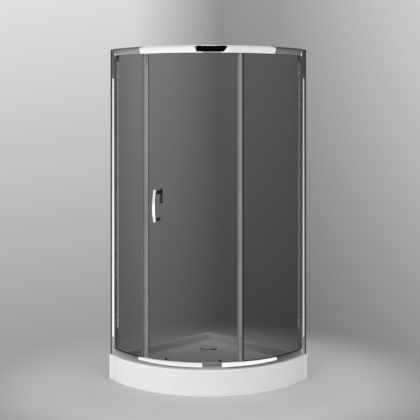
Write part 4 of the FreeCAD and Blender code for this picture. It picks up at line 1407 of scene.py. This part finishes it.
class Sky(Wiring):
    """The world's node tree, with grey screens that change from side to side and with height."""

    def __init__(self) -> None:
        """Starts a world, and finds how far aside and how high each direction points."""
        world = bpy.data.worlds.new("studio")
        bpy.context.scene.world = world
        world.use_nodes = True
        super().__init__(world.node_tree)
        heading = self.add("TexCoord", {}).outputs["Generated"]
        self.height = self.add("SeparateXYZ", {"Vector": heading}).outputs["Z"]
        self.aside = self.add("VectorMath", {0: heading, 1: ASIDE}, operation="DOT_PRODUCT").outputs["Value"]

    def graded(self, value: Socket, stops: Sequence[Point]) -> Socket:
        """Makes a grey level that follows stops along a value.

        Args:
            value: The value's socket.
            stops: Values and the levels there.

        Returns:
            The level's socket.
        """
        first, last = stops[0][0], stops[-1][0]
        place = self.add("MapRange", {"Value": value, "From Min": first, "From Max": last})
        greys = [((where - first) / (last - first), (level, level, level)) for where, level in stops]
        return self.ramp(place.outputs["Result"], greys)

    def screen(self, tones: Sequence[Point], rise: Sequence[Point]) -> Socket:
        """Makes a grey background.

        Args:
            tones: How far aside, and the display tones there.
            rise: How high, and the brightness there.

        Returns:
            The background's socket.
        """
        across = [(where, linear(tone)) for where, tone in tones]
        shown = {"Color": self.graded(self.aside, across), "Strength": self.graded(self.height, rise)}
        return self.add("Background", shown).outputs["Background"]


@dataclass
class Studio:
    """Camera, backdrop, floor and lamps."""

    lens: float = 81.71
    sensor: float = 36.0
    stand: Place = (4.19298, -4.17829, 1.66878)
    drop: float = -0.2369
    floor: Matt = Matt("pale_floor", linear(202.0), drift=0.015, patch_scale=3.0, patch_detail=5.0,
                       roughness=0.7, shine=0.2)
    floor_clear: float = 0.85
    floor_end: float = 1.65
    floor_segments: int = 96
    ambient: float = 0.33
    overhead_size: Point = (3.2, 3.2)
    overhead_place: Place = (0.3, -0.3, 3.6)
    overhead_radiance: float = 1.9
    # The backdrop's darker middle, behind the enclosure, and its darker band below the horizon are painted shade
    # of the room's walls.
    backdrop: tuple[Point, ...] = ((-0.24, 188.0), (-0.08, 184.0), (0.01, 122.0), (0.07, 130.0),
                                   (0.24, 178.0))
    backdrop_rise: tuple[Point, ...] = ((-0.6, 1.25), (-0.32, 0.5), (0.12, 1.5))
    surroundings: tuple[Point, ...] = ((-0.35, 178.0), (-0.1, 200.0), (0.25, 200.0), (0.4, 132.0))
    surroundings_rise: tuple[Point, ...] = ((-0.7, 1.9), (-0.35, 1.05), (-0.15, 0.95), (0.05, 0.33))
    boxes: tuple[Softbox, ...] = (
        Softbox("left_softbox", -6.4, -78.0, 3.0, 0.95, 4.5, 0.7, not_on=PANES),
        Softbox("left_softbox_low", -6.4, -78.0, 3.0, 0.1, 0.95, 0.9, not_on=PANES),
        Softbox("right_softbox", 14.2, 76.0, 3.0, 0.95, 4.5, 0.72, not_on=PANES),
        Softbox("right_softbox_low", 14.2, 76.0, 3.0, 0.1, 0.95, 1.08, not_on=PANES),
        Softbox("left_key", -40.0, -85.0, 3.2, 0.4, 3.0, 1.6, Reach.MATT, TRAY),
        Softbox("left_rim", -105.8, -115.3, 1.53, 0.03, 1.9, 1.05, Reach.MIRRORS, LEFT_POST),
        Softbox("right_rim", 105.8, 115.3, 1.53, 0.03, 1.9, 0.54, Reach.MIRRORS, RIGHT_POST),
        Softbox("left_inner_rim", 67.0, 83.0, 0.4, 0.03, 2.02, 0.9, Reach.MIRRORS, LEFT_POST),
        Softbox("right_inner_rim", -67.0, -83.0, 0.4, 0.03, 2.02, 0.45, Reach.MIRRORS, RIGHT_POST),
        Softbox("bow_key", -50.0, 50.0, 1.2, 0.1, 3.2, 0.42, Reach.MIRRORS, BOW),
    )
    flag: Matt = Matt("dark_cloth", 0.003, drift=1.0 / 3.0, patch_scale=60.0, patch_detail=3.0,
                      roughness=1.0, shine=0.0)
    flag_edges: tuple[Place, ...] = ((1.2, -12.9, 16.9), (1.85, -15.7, 20.2), (5.0, -15.7, 20.2))
    flag_distance: float = 2.8
    flag_hidden_from: tuple[str, ...] = ("camera", "diffuse", "transmission", "shadow", "volume_scatter")

    def build(self) -> None:
        """Sets the stage up."""
        bpy.context.scene.view_settings.view_transform = "Standard"
        self.build_camera()
        self.build_world()
        self.build_floor()
        self.build_flag()
        for box in self.boxes:
            box.build()
        above = Matrix.Translation(self.overhead_place)
        add_lamp("overhead", self.overhead_size, self.overhead_radiance, above)

    def build_camera(self) -> None:
        """Adds the camera at the photograph's viewpoint."""
        camera = bpy.data.cameras.new("camera")
        camera.lens = self.lens
        camera.sensor_width = self.sensor
        camera.shift_y = self.drop
        item = add_object("camera", camera)
        item.location = self.stand
        item.rotation_euler = (math.pi / 2, 0.0, math.radians(DIAGONAL))
        bpy.context.scene.camera = item

    def build_world(self) -> None:
        """Adds a grey backdrop, the surroundings that mirrors show, and an even light for the rest."""
        sky = Sky()
        seen = sky.screen(self.backdrop, self.backdrop_rise)
        mirrored = sky.screen(self.surroundings, self.surroundings_rise)
        light = sky.add("Background", {"Color": (1.0, 1.0, 1.0, 1.0), "Strength": self.ambient})
        rays = sky.add("LightPath", {})
        straight = {0: rays.outputs["Is Camera Ray"], 1: rays.outputs["Is Transmission Ray"]}
        clear = sky.add("Math", straight, operation="MAXIMUM")
        last = light.outputs["Background"]
        for share, shown in ((rays.outputs["Is Glossy Ray"], mirrored), (clear.outputs["Value"], seen)):
            last = sky.add("MixShader", {0: share, 1: last, 2: shown}).outputs["Shader"]
        sky.add("OutputWorld", {"Surface": last})

    def build_floor(self) -> None:
        """Adds a pale floor that fades out towards the backdrop."""
        disc = bmesh.new()
        bmesh.ops.create_circle(disc, cap_ends=True, segments=self.floor_segments, radius=self.floor_end)
        floor = add_object("floor", as_mesh("floor", disc))
        bench = self.floor.bench()
        place = bench.add("TexCoord", {})
        far = bench.add("VectorMath", {0: place.outputs["Object"]}, operation="LENGTH")
        ends = {"From Min": self.floor_clear, "From Max": self.floor_end, "To Min": 1.0, "To Max": 0.0}
        fade = bench.add("MapRange", {"Value": far.outputs["Value"], **ends}, interpolation_type="SMOOTHSTEP")
        bench.feed(bench.shader, {"Alpha": fade.outputs["Result"]})
        floor.data.materials.append(bench.material)

    def build_flag(self) -> None:
        """Adds a dark panel in front, which only reflections show."""
        edges = [(z, left) for z, left, _ in self.flag_edges]
        edges += [(z, right) for z, _, right in reversed(self.flag_edges)]
        corners = [bearing(angle) * self.flag_distance + UP * z for z, angle in edges]
        data = bpy.data.meshes.new("dark_flag")
        data.from_pydata(corners, [], [tuple(range(len(corners)))])
        data.materials.append(self.flag.bench().material)
        flag = add_object("dark_flag", data)
        for rays in self.flag_hidden_from:
            setattr(flag, f"visible_{rays}", False)


def main() -> None:
    """Builds the enclosure's looks and the stage around it."""
    logging.basicConfig(level=logging.INFO, format="%(name)s: %(message)s")
    plan = Plan.from_frame()
    parts = (Tray(plan), Rails(plan), Posts(plan), Glazing(plan), Handle(plan), Springs(), Hardware(),
             Studio())
    for part in parts:
        part.build()
        log.info("%s is done", type(part).__name__)


if __name__ == "__main__":
    main()
